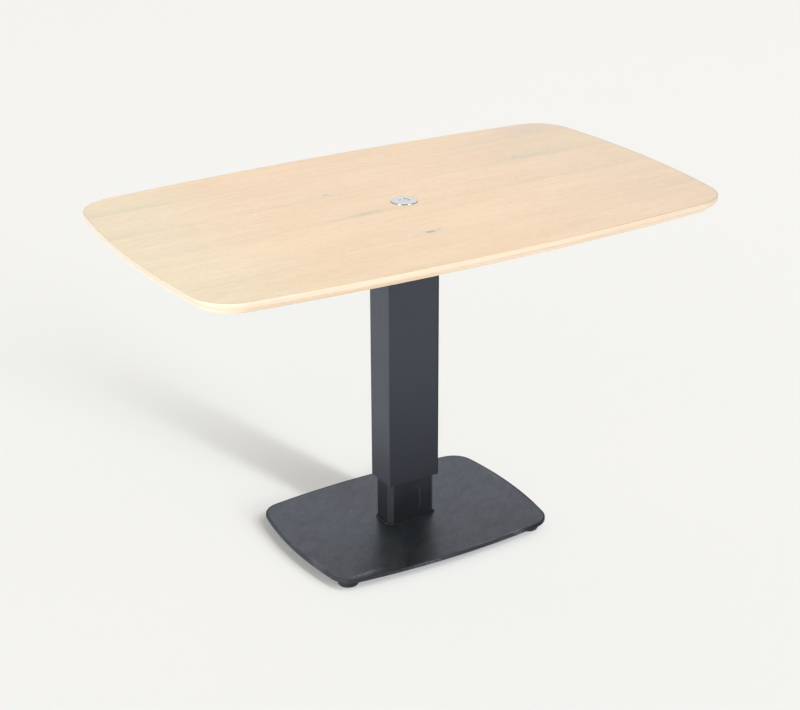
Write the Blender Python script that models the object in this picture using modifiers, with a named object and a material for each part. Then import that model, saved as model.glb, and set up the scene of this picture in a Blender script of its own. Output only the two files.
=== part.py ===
"""A height-adjustable pedestal table on a gas spring. Metres, +Z up, origin on the floor under the column."""

import bmesh
import bpy
from math import atan2, cos, hypot, pi, sin, sqrt

# Fits between pieces
SEAT_GAP = 0.0003  # between pieces that are fixed together
RUN_GAP = 0.0003  # between pieces that slide on each other

# Tabletop
TABLE_HEIGHT = 0.744  # top surface above the floor, in the pose of rest
TOP_LENGTH = 1.200
TOP_WIDTH = 0.700
TOP_THICK = 0.026
TOP_LONG_BOW = 0.0325  # how far the middle of a long side stands out
TOP_SHORT_BOW = 0.034
TOP_CORNER = 0.0865
TOP_ARRIS = 0.0008  # softening of the upper edge
TOP_BAND = 0.0105  # upright upper part of the edge
TOP_UNDERCUT = 0.0185  # how far the lower part of the edge runs in
TOP_TURN = 0.003  # rounding between the upright band and the undercut

# Travel of the lift, from rest
TRAVEL_DOWN = 0.056
TRAVEL_UP = 0.364
STOP_ROOM = 0.028  # left above the inner column when the table is lowest

# Foot plate
BASE_LENGTH = 0.550
BASE_WIDTH = 0.400
BASE_THICK = 0.008
BASE_LONG_BOW = 0.0215
BASE_SHORT_BOW = 0.0245
BASE_CORNER = 0.050
BASE_ARRIS = 0.0012

# Levelling feet
FOOT_HEIGHT = 0.021
FOOT_RADIUS = 0.022
FOOT_ROUND = 0.0045
FOOT_CHAMFER = 0.0006
FOOT_INSET_X = 0.0515
FOOT_INSET_Y = 0.0545
STUD_RADIUS = 0.004
STUD_CHAMFER = 0.0006
STUD_SKIN = 0.0012  # steel left above a stud's blind hole
PAD_FLOOR = 0.004  # plastic left under a stud

# Column tubes
OUTER_X = 0.1215
OUTER_Y = 0.0755
OUTER_WALL = 0.002
OUTER_CORNER = 0.0018
MOUTH_CORNER = 0.0008  # corners of the outer tube's bore
GUIDE_ROOM_X = 0.0020  # between the tubes, on the narrow faces
GUIDE_ROOM_Y = 0.0050  # between the tubes, on the broad faces
INNER_WALL = 0.003
INNER_BEVEL = 0.0103  # how far each corner of the inner tube is cut back along its faces
INNER_EASE = 0.0012  # rounding of the edges that the bevels leave
LEAST_EASE = 0.0003
INNER_SHOWN = 0.0985  # inner tube in sight at rest
FOOT_WELD = 0.0040
HEAD_WELD = 0.0030

# Guide bushes
LOWER_BUSH = 0.060
LOWER_BUSH_SET = 0.0015  # how far it sits inside the mouth of the outer tube
UPPER_BUSH = 0.050
UPPER_LIP = 0.002

# Head plate and its screws
HEAD_LENGTH = 0.400
HEAD_WIDTH = 0.240
HEAD_THICK = 0.005
HEAD_CORNER = 0.020
HEAD_SCREW_INSET = 0.020
HEAD_SCREW_MID = 0.070
SCREW_RADIUS = 0.0021
SCREW_HEAD_R = 0.0046
SCREW_HEAD_H = 0.0028
SCREW_BITE = 0.015  # length of screw inside the wood
PILOT_PAST = 0.001  # how far a pilot hole runs past its screw's tip

# Gas spring
CYLINDER_R = 0.014
CYLINDER_WALL = 0.0015
CYLINDER_FLOOR = 0.004
CYLINDER_CHAMFER = 0.002
ROD_R = 0.005
ROD_BORE = 0.0023
ROD_CHAMFER = 0.0006
ROD_IN_PISTON = 0.002  # from the piston's lower face to the rod's end
PIN_R = 0.0020
PIN_CHAMFER = 0.0005
PIN_PROUD = 0.005
PIN_SHORT = 0.008  # from the rod's lower end to the pin's
GUIDE_LENGTH = 0.020
GUIDE_CAP = 0.003
GUIDE_CHAMFER = 0.0008
PISTON_LENGTH = 0.024
PISTON_CHAMFER = 0.001
PISTON_GROOVE = 0.002
PISTON_ROOM = 0.006  # between piston and rod guide when the table is highest
SEAT_R = 0.023
SEAT_HEIGHT = 0.032
SEAT_FLOOR = 0.012
SEAT_CHAMFER = 0.001
SEAT_SCREW_R = 0.004
SEAT_SCREW_HEAD_R = 0.0076
SEAT_SCREW_CHAMFER = 0.0006
SEAT_SCREW_SHORT = 0.0006  # from the seat's floor down to the screw's end
SOCKET_FLATS = 0.005
SOCKET_DEPTH = 0.003
NUT_FLATS = 0.017
NUT_LOWER = 0.008
NUT_UPPER = 0.005
ROD_PAST_NUT = 0.001

# Release button
BEZEL_R = 0.0274
BEZEL_LET_IN = 0.0012
BEZEL_PROUD = 0.0014
BEZEL_CHAMFER = 0.0011
BEZEL_BORE_CHAMFER = 0.0004
BEZEL_WALL = 0.0034
BEZEL_PAST = 0.0005  # how far the sleeve runs past the pressed button
BUTTON_R = 0.0108
BUTTON_EDGE = 0.0008
BUTTON_DISH = 0.0003
BUTTON_SET = 0.0006  # how far the button lies under the face of the bezel
BUTTON_COLLAR = 0.0024  # how far the button's collar stands out
BUTTON_COLLAR_H = 0.003
BUTTON_STEM_R = 0.0045
BUTTON_STEM = 0.0012
BUTTON_TRAVEL = 0.004

# Fineness
SIDE_STEPS = 9
CORNER_STEPS = 8
TUBE_STEPS = 6
EASE_STEPS = 3
BUSH_STEPS = 2 * EASE_STEPS + 1  # corners of a bush match the bevels of the inner tube
TURN_STEPS = 28
SMALL_STEPS = 20
SHARP = pi / 6  # edges that turn more than this are shaded sharp
CUT_PAST = 0.004  # how far a cutter runs past the face that it cuts

# Levels above the floor
PLATE_BOTTOM = FOOT_HEIGHT
PLATE_TOP = PLATE_BOTTOM + BASE_THICK
TOP_BOTTOM = TABLE_HEIGHT - TOP_THICK
HEAD_TOP = TOP_BOTTOM - SEAT_GAP
HEAD_BOTTOM = HEAD_TOP - HEAD_THICK
OUTER_TOP = HEAD_BOTTOM - SEAT_GAP
OUTER_BOTTOM = PLATE_TOP + INNER_SHOWN
INNER_BOTTOM = PLATE_TOP + SEAT_GAP
INNER_TOP = OUTER_TOP - TRAVEL_DOWN - STOP_ROOM
CYLINDER_BOTTOM = INNER_BOTTOM + SEAT_FLOOR + SEAT_GAP
CYLINDER_TOP = INNER_TOP
PISTON_TOP = CYLINDER_TOP - GUIDE_LENGTH - TRAVEL_UP - PISTON_ROOM
PISTON_BOTTOM = PISTON_TOP - PISTON_LENGTH
ROD_TOP = HEAD_TOP + SEAT_GAP + NUT_UPPER + ROD_PAST_NUT
ROD_BOTTOM = PISTON_BOTTOM + ROD_IN_PISTON
PIN_TOP = ROD_TOP + PIN_PROUD
STEM_BOTTOM = PIN_TOP + SEAT_GAP
COLLAR_BOTTOM = STEM_BOTTOM + BUTTON_STEM
COLLAR_TOP = COLLAR_BOTTOM + BUTTON_COLLAR_H
BUTTON_TOP = TABLE_HEIGHT + BEZEL_PROUD - BUTTON_SET
BEZEL_BOTTOM = COLLAR_BOTTOM - BUTTON_TRAVEL - BEZEL_PAST
FOOT_X = BASE_LENGTH / 2 - FOOT_INSET_X
FOOT_Y = BASE_WIDTH / 2 - FOOT_INSET_Y

# Sizes that follow from the ones above
INNER_X = OUTER_X - 2 * (OUTER_WALL + GUIDE_ROOM_X)
INNER_Y = OUTER_Y - 2 * (OUTER_WALL + GUIDE_ROOM_Y)
MOUTH_X = OUTER_X - 2 * OUTER_WALL
MOUTH_Y = OUTER_Y - 2 * OUTER_WALL
CYLINDER_BORE = CYLINDER_R - CYLINDER_WALL
COLLAR_R = BUTTON_R + BUTTON_COLLAR
WELL_R = COLLAR_R + RUN_GAP
SLEEVE_R = WELL_R + BEZEL_WALL
BUTTON_HOLE_R = SLEEVE_R + SEAT_GAP

# Colours as linear values, then roughness and metallic
WOOD = ((0.88, 0.69, 0.50), 0.55, 0.0)
STEEL_COAT = ((0.060, 0.065, 0.075), 0.45, 0.2)
STEEL_COAT_DARK = ((0.022, 0.025, 0.030), 0.40, 0.2)
ZINC = ((0.55, 0.56, 0.57), 0.35, 1.0)
CHROME = ((0.74, 0.75, 0.77), 0.18, 1.0)
SATIN = ((0.66, 0.67, 0.70), 0.30, 1.0)
BLACK_PLASTIC = ((0.012, 0.012, 0.013), 0.50, 0.0)
WHITE_PLASTIC = ((0.75, 0.75, 0.72), 0.45, 0.0)
BLACK_PAINT = ((0.015, 0.015, 0.016), 0.35, 0.1)


def clear():
    for thing in list(bpy.data.objects):
        bpy.data.objects.remove(thing)


def collection(name):
    made = bpy.data.collections.new(name)
    bpy.context.scene.collection.children.link(made)
    return made


def material(name, finish):
    colour, roughness, metallic = finish
    made = bpy.data.materials.new(name)
    made.use_nodes = True
    shader = made.node_tree.nodes["Principled BSDF"]
    shader.inputs["Base Color"].default_value = (*colour, 1.0)
    shader.inputs["Roughness"].default_value = roughness
    shader.inputs["Metallic"].default_value = metallic
    made.diffuse_color = (*colour, 1.0)
    return made


def add(name, data, home, at=(0, 0, 0)):
    thing = bpy.data.objects.new(name, data)
    thing.location = at
    home.objects.link(thing)
    return thing


def finish_mesh(name, build):
    """A mesh from a bmesh, with joined vertices and outward faces."""
    bmesh.ops.remove_doubles(build, verts=build.verts, dist=1e-6)
    bmesh.ops.recalc_face_normals(build, faces=build.faces)
    mesh = bpy.data.meshes.new(name)
    build.to_mesh(mesh)
    build.free()
    mesh.shade_smooth()
    mesh.set_sharp_from_angle(angle=SHARP)
    return mesh


def arc(centre, radius, start, end, steps):
    """Points from start up to, but not on, end."""
    turn = (end - start) / steps
    return [
        (centre[0] + radius * cos(start + i * turn), centre[1] + radius * sin(start + i * turn))
        for i in range(steps)
    ]


def circles_meet(c0, r0, c1, r1):
    """The crossing of two circles that lies furthest towards +X and +Y."""
    dx, dy = c1[0] - c0[0], c1[1] - c0[1]
    apart = hypot(dx, dy)
    along = (r0 * r0 - r1 * r1 + apart * apart) / (2 * apart)
    across = sqrt(r0 * r0 - along * along)
    ux, uy = dx / apart, dy / apart
    foot = (c0[0] + along * ux, c0[1] + along * uy)
    both = [(foot[0] - k * across * uy, foot[1] + k * across * ux) for k in (1, -1)]
    return max(both, key=lambda p: p[0] + p[1])


def bowed(length, width, long_bow, short_bow, corner, inset=0.0):
    """A rectangle with four bowed sides and round corners, drawn in all round by inset."""
    a, b = length / 2, width / 2
    long_r = (a * a + long_bow * long_bow) / (2 * long_bow)
    short_r = (b * b + short_bow * short_bow) / (2 * short_bow)
    long_c = (0.0, b - long_r)
    short_c = (a - short_r, 0.0)
    round_c = circles_meet(short_c, short_r - corner, long_c, long_r - corner)
    leave = atan2(round_c[1] - short_c[1], round_c[0] - short_c[0])
    arrive = atan2(round_c[1] - long_c[1], round_c[0] - long_c[0])
    quarter = arc(short_c, short_r - inset, 0.0, leave, SIDE_STEPS)
    quarter += arc(round_c, corner - inset, leave, arrive, CORNER_STEPS)
    quarter += arc(long_c, long_r - inset, arrive, pi / 2, SIDE_STEPS)
    quarter.append((0.0, b - inset))
    points = list(quarter)
    points += [(-x, y) for x, y in reversed(quarter[:-1])]
    points += [(-x, -y) for x, y in quarter[1:]]
    points += [(x, -y) for x, y in reversed(quarter[1:-1])]
    return points


def round_rect(length, width, corner, steps=TUBE_STEPS):
    """A rectangle with round corners."""
    a, b = length / 2 - corner, width / 2 - corner
    points = []
    for i, (x, y) in enumerate(((a, b), (-a, b), (-a, -b), (a, -b))):
        points += arc((x, y), corner, i * pi / 2, (i + 1) * pi / 2, steps)
        points.append((x + corner * cos((i + 1) * pi / 2), y + corner * sin((i + 1) * pi / 2)))
    return points


def bevel_rect(length, width, grow=0.0):
    """A rectangle with the inner tube's bevelled corners and eased edges, grown outwards."""
    a, b = length / 2 + grow, width / 2 + grow
    cut = INNER_BEVEL + grow * (2 - sqrt(2))
    ease = max(INNER_EASE + grow, LEAST_EASE)
    back = cut + ease * (sqrt(2) - 1)
    quarter = rounded((a - ease, b - back), ease, 0, 45, EASE_STEPS)
    quarter += rounded((a - back, b - ease), ease, 45, 90, EASE_STEPS)
    points = list(quarter)
    points += [(-x, y) for x, y in reversed(quarter)]
    points += [(-x, -y) for x, y in quarter]
    points += [(x, -y) for x, y in reversed(quarter)]
    return points


def skin(name, rings, home, ring_shaped=False):
    """A solid skinned over rings of (outline, height). A ring-shaped one closes on its first ring."""
    build = bmesh.new()
    rows = [[build.verts.new((x, y, z)) for x, y in outline] for outline, z in rings]
    pairs = list(zip(rows, rows[1:]))
    if ring_shaped:
        pairs.append((rows[-1], rows[0]))
    else:
        build.faces.new(rows[0])
        build.faces.new(rows[-1])
    for low, high in pairs:
        for i in range(len(low)):
            j = (i + 1) % len(low)
            build.faces.new((low[i], low[j], high[j], high[i]))
    return add(name, finish_mesh(name, build), home)


def flat(name, outlines, bottom, top, home):
    """A flat piece with straight sides. Outlines after the first are holes in it."""
    curve = bpy.data.curves.new(name, "CURVE")
    curve.dimensions = "2D"
    curve.fill_mode = "BOTH"
    curve.extrude = (top - bottom) / 2
    for outline in outlines:
        spline = curve.splines.new("POLY")
        spline.points.add(len(outline) - 1)
        for point, (x, y) in zip(spline.points, outline):
            point.co = (x, y, 0.0, 1.0)
        spline.use_cyclic_u = True
    drawn = add(name + "_curve", curve, home)
    build = bmesh.new()
    build.from_mesh(bpy.data.meshes.new_from_object(drawn))
    bmesh.ops.translate(build, verts=build.verts, vec=(0, 0, (top + bottom) / 2))
    bpy.data.objects.remove(drawn)
    return add(name, finish_mesh(name, build), home)


def turned(name, profile, home, at=(0, 0, 0), steps=TURN_STEPS, ring_shaped=False):
    """A solid turned round Z from a profile of (radius, height) that runs down its outer side."""
    mesh = bpy.data.meshes.new(name)
    edges = [(i, i + 1) for i in range(len(profile) - 1)]
    if ring_shaped:
        edges.append((len(profile) - 1, 0))
    mesh.from_pydata([(r, 0.0, z) for r, z in profile], edges, [])
    thing = add(name, mesh, home, at)
    screw = thing.modifiers.new("Turn", "SCREW")
    screw.axis = "Z"
    screw.angle = 2 * pi
    screw.steps = steps
    screw.render_steps = steps
    screw.use_merge_vertices = True
    screw.merge_threshold = 0.00001
    return thing


def rounded(centre, radius, start, end, steps=4):
    """Points of a rounding, from start to end in degrees, both ends included."""
    k = pi / 180
    return [
        (centre[0] + radius * cos(k * (start + (end - start) * i / steps)),
         centre[1] + radius * sin(k * (start + (end - start) * i / steps)))
        for i in range(steps + 1)
    ]


def circle(radius, at=(0.0, 0.0), steps=SMALL_STEPS):
    return arc(at, radius, 0.0, 2 * pi, steps)


def combine(target, cutter, operation="DIFFERENCE"):
    cutter.hide_render = True
    cutter.display_type = "WIRE"
    change = target.modifiers.new(operation.title(), "BOOLEAN")
    change.operation = operation
    change.solver = "EXACT"
    change.object = cutter


def paint(things, coat):
    for thing in things:
        thing.data.materials.append(coat)


def outer_ring(grow):
    return round_rect(OUTER_X + 2 * grow, OUTER_Y + 2 * grow, OUTER_CORNER + grow)


def inner_ring(grow):
    return bevel_rect(INNER_X, INNER_Y, grow)


def make_tabletop(parts, cutters):
    def outline(inset):
        return bowed(TOP_LENGTH, TOP_WIDTH, TOP_LONG_BOW, TOP_SHORT_BOW, TOP_CORNER, inset)

    # The edge runs down an upright band, turns, and slopes in to the underside
    turn_at = TABLE_HEIGHT - TOP_BAND
    slope = TOP_UNDERCUT / (turn_at - TOP_BOTTOM)
    half = TOP_TURN / hypot(1.0, slope)
    edge = [
        (TOP_ARRIS, TABLE_HEIGHT),
        (TOP_ARRIS * 0.3, TABLE_HEIGHT - TOP_ARRIS * 0.3),
        (0.0, TABLE_HEIGHT - TOP_ARRIS),
        (0.0, turn_at + TOP_TURN),
        (half * slope * 0.28, turn_at + TOP_TURN * 0.08),
        (half * slope, turn_at - half),
        (TOP_UNDERCUT - TOP_ARRIS, TOP_BOTTOM + TOP_ARRIS / slope),
        (TOP_UNDERCUT + TOP_ARRIS, TOP_BOTTOM),
    ]
    top = skin("tabletop", [(outline(inset), z) for inset, z in edge], parts)
    well = turned(
        "cut_button_well",
        [
            (0.0, TABLE_HEIGHT + CUT_PAST),
            (BEZEL_R + SEAT_GAP, TABLE_HEIGHT + CUT_PAST),
            (BEZEL_R + SEAT_GAP, TABLE_HEIGHT - BEZEL_LET_IN),
            (BUTTON_HOLE_R, TABLE_HEIGHT - BEZEL_LET_IN),
            (BUTTON_HOLE_R, TOP_BOTTOM - CUT_PAST),
            (0.0, TOP_BOTTOM - CUT_PAST),
        ],
        cutters,
    )
    combine(top, well)
    for i, at in enumerate(head_screw_places(), 1):
        pilot = turned(
            f"cut_pilot_{i}",
            [
                (0.0, TOP_BOTTOM + SCREW_BITE + PILOT_PAST),
                (SCREW_RADIUS + SEAT_GAP, TOP_BOTTOM + SCREW_BITE + PILOT_PAST),
                (SCREW_RADIUS + SEAT_GAP, TOP_BOTTOM - CUT_PAST),
                (0.0, TOP_BOTTOM - CUT_PAST),
            ],
            cutters,
            (*at, 0.0),
            12,
        )
        combine(top, pilot)
    paint([top], material("pale_oak", WOOD))


def head_screw_places():
    far = HEAD_LENGTH / 2 - HEAD_SCREW_INSET
    side = HEAD_WIDTH / 2 - HEAD_SCREW_INSET
    return [(x, y) for y in (-side, side) for x in (-far, -HEAD_SCREW_MID, HEAD_SCREW_MID, far)]


def make_head(parts):
    holes = [circle(SCREW_RADIUS + 2 * SEAT_GAP, at, 12) for at in head_screw_places()]
    holes.append(circle(ROD_R + SEAT_GAP))
    outline = round_rect(HEAD_LENGTH, HEAD_WIDTH, HEAD_CORNER)
    plate = flat("head_plate", [outline, *holes], HEAD_BOTTOM, HEAD_TOP, parts)
    paint([plate], material("head_plate_paint", BLACK_PAINT))
    screws = []
    under = HEAD_BOTTOM - SEAT_GAP
    tip = TOP_BOTTOM + SCREW_BITE
    for i, at in enumerate(head_screw_places(), 1):
        profile = [
            (0.0, tip),
            (SCREW_RADIUS, tip - 2 * SCREW_RADIUS),
            (SCREW_RADIUS, under),
            (SCREW_HEAD_R, under),
            (SCREW_HEAD_R, under - 0.4 * SCREW_HEAD_H),
            (0.86 * SCREW_HEAD_R, under - 0.78 * SCREW_HEAD_H),
            (0.5 * SCREW_HEAD_R, under - SCREW_HEAD_H),
            (0.0, under - SCREW_HEAD_H),
        ]
        screws.append(turned(f"head_screw_{i}", profile, parts, (*at, 0.0), 14))
    paint(screws, material("head_screw_zinc", ZINC))


def make_column(parts):
    outer = flat(
        "outer_column",
        [outer_ring(0.0), round_rect(MOUTH_X, MOUTH_Y, MOUTH_CORNER)],
        OUTER_BOTTOM,
        OUTER_TOP,
        parts,
    )
    paint([outer], material("outer_column_coat", STEEL_COAT))
    inner = flat("inner_column", [inner_ring(0.0), inner_ring(-INNER_WALL)], INNER_BOTTOM, INNER_TOP, parts)
    paint([inner], material("inner_column_coat", STEEL_COAT_DARK))


def make_welds(parts):
    def bead(name, ring, leg, face, away):
        """A fillet bead round a tube. It lies on a face and grows away from it."""
        section = [
            (SEAT_GAP, 0.0),
            (leg, 0.0),
            (0.80 * leg, 0.45 * leg),
            (0.45 * leg, 0.80 * leg),
            (SEAT_GAP, leg),
        ]
        rings = [(ring(out), face + away * (SEAT_GAP + up)) for out, up in section]
        return skin(name, rings, parts, ring_shaped=True)

    foot = bead("foot_weld", inner_ring, FOOT_WELD, PLATE_TOP, 1)
    paint([foot], material("foot_weld_coat", STEEL_COAT_DARK))
    head = bead("head_weld", outer_ring, HEAD_WELD, HEAD_BOTTOM, -1)
    paint([head], material("head_weld_paint", BLACK_PAINT))


def make_guides(parts):
    mouth = OUTER_BOTTOM + LOWER_BUSH_SET
    wide = round_rect(MOUTH_X - 2 * SEAT_GAP, MOUTH_Y - 2 * SEAT_GAP, MOUTH_CORNER, BUSH_STEPS)
    slide = inner_ring(RUN_GAP)
    lower = skin(
        "lower_guide_bush",
        [(slide, mouth), (wide, mouth), (wide, mouth + LOWER_BUSH), (slide, mouth + LOWER_BUSH)],
        parts,
        ring_shaped=True,
    )
    # The upper bush fits over the end of the inner tube, and its lip rests on the tube's wall
    run = round_rect(MOUTH_X - 2 * RUN_GAP, MOUTH_Y - 2 * RUN_GAP, MOUTH_CORNER, BUSH_STEPS)
    grip = inner_ring(SEAT_GAP)
    lip = inner_ring(-INNER_WALL)
    bottom = INNER_TOP - UPPER_BUSH
    seat = INNER_TOP + SEAT_GAP
    upper = skin(
        "upper_guide_bush",
        [
            (grip, bottom),
            (run, bottom),
            (run, seat + UPPER_LIP),
            (lip, seat + UPPER_LIP),
            (lip, seat),
            (grip, seat),
        ],
        parts,
        ring_shaped=True,
    )
    paint([lower], material("lower_bush_plastic", BLACK_PLASTIC))
    paint([upper], material("upper_bush_plastic", WHITE_PLASTIC))


def make_base(parts, cutters):
    def outline(inset):
        return bowed(BASE_LENGTH, BASE_WIDTH, BASE_LONG_BOW, BASE_SHORT_BOW, BASE_CORNER, inset)

    soft = BASE_ARRIS
    edge = [
        (soft, PLATE_TOP),
        (0.3 * soft, PLATE_TOP - 0.3 * soft),
        (0.0, PLATE_TOP - soft),
        (0.0, PLATE_BOTTOM + soft),
        (0.3 * soft, PLATE_BOTTOM + 0.3 * soft),
        (soft, PLATE_BOTTOM),
    ]
    plate = skin("base_plate", [(outline(inset), z) for inset, z in edge], parts)
    for i, at in enumerate(foot_places(), 1):
        blind = turned(
            f"cut_stud_hole_{i}",
            [
                (0.0, PLATE_TOP - STUD_SKIN),
                (STUD_RADIUS + SEAT_GAP, PLATE_TOP - STUD_SKIN),
                (STUD_RADIUS + SEAT_GAP, PLATE_BOTTOM - CUT_PAST),
                (0.0, PLATE_BOTTOM - CUT_PAST),
            ],
            cutters,
            (*at, 0.0),
            SMALL_STEPS,
        )
        combine(plate, blind)
    # The countersink for the seat screw opens at 45 degrees towards the underside
    hole = SEAT_SCREW_R + SEAT_GAP
    wide = SEAT_SCREW_HEAD_R + SEAT_GAP
    sink = turned(
        "cut_countersink",
        [
            (0.0, PLATE_TOP + CUT_PAST),
            (hole, PLATE_TOP + CUT_PAST),
            (hole, PLATE_BOTTOM + wide - hole),
            (wide, PLATE_BOTTOM),
            (wide, PLATE_BOTTOM - CUT_PAST),
            (0.0, PLATE_BOTTOM - CUT_PAST),
        ],
        cutters,
    )
    combine(plate, sink)
    paint([plate], material("base_plate_coat", STEEL_COAT))


def foot_places():
    return [(sx * FOOT_X, sy * FOOT_Y) for sy in (-1, 1) for sx in (-1, 1)]


def make_feet(parts):
    pads, studs = [], []
    sole = FOOT_RADIUS - FOOT_ROUND
    top = FOOT_HEIGHT - SEAT_GAP
    hole = STUD_RADIUS + SEAT_GAP
    for i, at in enumerate(foot_places(), 1):
        profile = [
            (0.0, PAD_FLOOR),
            (hole, PAD_FLOOR),
            (hole, top),
            (FOOT_RADIUS - FOOT_CHAMFER, top),
            (FOOT_RADIUS, top - FOOT_CHAMFER),
            *rounded((sole, FOOT_ROUND), FOOT_ROUND, 0, -90),
            (0.0, 0.0),
        ]
        pads.append(turned(f"foot_pad_{i}", profile, parts, (*at, 0.0)))
        low = PAD_FLOOR + SEAT_GAP
        high = PLATE_TOP - STUD_SKIN - SEAT_GAP
        stud = [
            (0.0, high),
            (STUD_RADIUS - STUD_CHAMFER, high),
            (STUD_RADIUS, high - STUD_CHAMFER),
            (STUD_RADIUS, low),
            (0.0, low),
        ]
        studs.append(turned(f"foot_stud_{i}", stud, parts, (*at, 0.0), SMALL_STEPS))
    paint(pads, material("foot_plastic", BLACK_PLASTIC))
    paint(studs, material("foot_stud_zinc", ZINC))


def make_gas_spring(parts, cutters):
    seat_top = INNER_BOTTOM + SEAT_HEIGHT
    socket = CYLINDER_R + SEAT_GAP
    bolt = SEAT_SCREW_R + SEAT_GAP
    floor = INNER_BOTTOM + SEAT_FLOOR
    seat = turned(
        "gas_spring_seat",
        [
            (socket, seat_top),
            (SEAT_R - SEAT_CHAMFER, seat_top),
            (SEAT_R, seat_top - SEAT_CHAMFER),
            (SEAT_R, INNER_BOTTOM),
            (bolt, INNER_BOTTOM),
            (bolt, floor),
            (socket, floor),
        ],
        parts,
        ring_shaped=True,
    )
    paint([seat], material("seat_steel", ZINC))
    # The head of the seat screw lies just inside the underside of the base plate
    sunk = PLATE_BOTTOM + SEAT_GAP
    end = floor - SEAT_SCREW_SHORT
    screw = turned(
        "seat_screw",
        [
            (0.0, end),
            (SEAT_SCREW_R - SEAT_SCREW_CHAMFER, end),
            (SEAT_SCREW_R, end - SEAT_SCREW_CHAMFER),
            (SEAT_SCREW_R, sunk + SEAT_SCREW_HEAD_R - SEAT_SCREW_R),
            (SEAT_SCREW_HEAD_R, sunk),
            (0.0, sunk),
        ],
        parts,
    )
    hexagon = arc((0, 0), SOCKET_FLATS / sqrt(3), 0.0, 2 * pi, 6)
    combine(screw, flat("cut_socket", [hexagon], sunk - CUT_PAST, sunk + SOCKET_DEPTH, cutters))
    paint([screw], material("seat_screw_zinc", ZINC))
    cylinder = turned(
        "gas_spring_cylinder",
        [
            (0.0, CYLINDER_BOTTOM + CYLINDER_FLOOR),
            (CYLINDER_BORE, CYLINDER_BOTTOM + CYLINDER_FLOOR),
            (CYLINDER_BORE, CYLINDER_TOP),
            (CYLINDER_R, CYLINDER_TOP),
            (CYLINDER_R, CYLINDER_BOTTOM + CYLINDER_CHAMFER),
            (CYLINDER_R - CYLINDER_CHAMFER, CYLINDER_BOTTOM),
            (0.0, CYLINDER_BOTTOM),
        ],
        parts,
    )
    paint([cylinder], material("cylinder_paint", BLACK_PAINT))
    cap = CYLINDER_TOP + SEAT_GAP
    plug = CYLINDER_BORE - SEAT_GAP
    rod_way = ROD_R + RUN_GAP
    guide = turned(
        "gas_spring_guide",
        [
            (rod_way, cap + GUIDE_CAP),
            (CYLINDER_R - GUIDE_CHAMFER, cap + GUIDE_CAP),
            (CYLINDER_R, cap + GUIDE_CAP - GUIDE_CHAMFER),
            (CYLINDER_R, cap),
            (plug, cap),
            (plug, CYLINDER_TOP - GUIDE_LENGTH),
            (rod_way, CYLINDER_TOP - GUIDE_LENGTH),
        ],
        parts,
        ring_shaped=True,
    )
    paint([guide], material("rod_guide_plastic", BLACK_PLASTIC))
    wide = CYLINDER_BORE - RUN_GAP
    groove = PISTON_LENGTH / 4
    piston = turned(
        "gas_spring_piston",
        [
            (ROD_R + SEAT_GAP, PISTON_TOP),
            (wide - PISTON_CHAMFER, PISTON_TOP),
            (wide, PISTON_TOP - PISTON_CHAMFER),
            (wide, PISTON_TOP - groove),
            (wide - PISTON_GROOVE, PISTON_TOP - groove),
            (wide - PISTON_GROOVE, PISTON_BOTTOM + groove),
            (wide, PISTON_BOTTOM + groove),
            (wide, PISTON_BOTTOM + PISTON_CHAMFER),
            (wide - PISTON_CHAMFER, PISTON_BOTTOM),
            (ROD_R + SEAT_GAP, PISTON_BOTTOM),
        ],
        parts,
        ring_shaped=True,
    )
    paint([piston], material("piston_steel", ZINC))
    rod = turned(
        "gas_spring_rod",
        [
            (ROD_BORE, ROD_TOP),
            (ROD_R - ROD_CHAMFER, ROD_TOP),
            (ROD_R, ROD_TOP - ROD_CHAMFER),
            (ROD_R, ROD_BOTTOM),
            (ROD_BORE, ROD_BOTTOM),
        ],
        parts,
        steps=SMALL_STEPS,
        ring_shaped=True,
    )
    paint([rod], material("rod_chrome", CHROME))
    pin = turned(
        "release_pin",
        [
            (0.0, PIN_TOP),
            (PIN_R - PIN_CHAMFER, PIN_TOP),
            (PIN_R, PIN_TOP - PIN_CHAMFER),
            (PIN_R, ROD_BOTTOM + PIN_SHORT),
            (0.0, ROD_BOTTOM + PIN_SHORT),
        ],
        parts,
        steps=SMALL_STEPS,
    )
    paint([pin], material("pin_steel", ZINC))


def make_nut(name, bottom, thick, parts, cutters):
    corner = NUT_FLATS / sqrt(3)
    hexagon = arc((0, 0), corner, 0.0, 2 * pi, 6)
    nut = flat(name, [hexagon, circle(ROD_R + SEAT_GAP)], bottom, bottom + thick, parts)
    # The corners of the hexagon are chamfered to the width across the flats
    fall = (corner - 0.48 * NUT_FLATS) * 0.58
    wide = corner * 1.02
    barrel = turned(
        f"cut_{name}",
        [
            (0.0, bottom + thick + CUT_PAST),
            (0.48 * NUT_FLATS, bottom + thick + CUT_PAST),
            (0.48 * NUT_FLATS, bottom + thick),
            (wide, bottom + thick - fall),
            (wide, bottom + fall),
            (0.48 * NUT_FLATS, bottom),
            (0.48 * NUT_FLATS, bottom - CUT_PAST),
            (0.0, bottom - CUT_PAST),
        ],
        cutters,
        steps=24,
    )
    combine(nut, barrel, "INTERSECT")
    return nut


def make_rod_nuts(parts, cutters):
    lower = make_nut("rod_nut_lower", HEAD_BOTTOM - SEAT_GAP - NUT_LOWER, NUT_LOWER, parts, cutters)
    upper = make_nut("rod_nut_upper", HEAD_TOP + SEAT_GAP, NUT_UPPER, parts, cutters)
    paint([lower, upper], material("rod_nut_zinc", ZINC))


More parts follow.
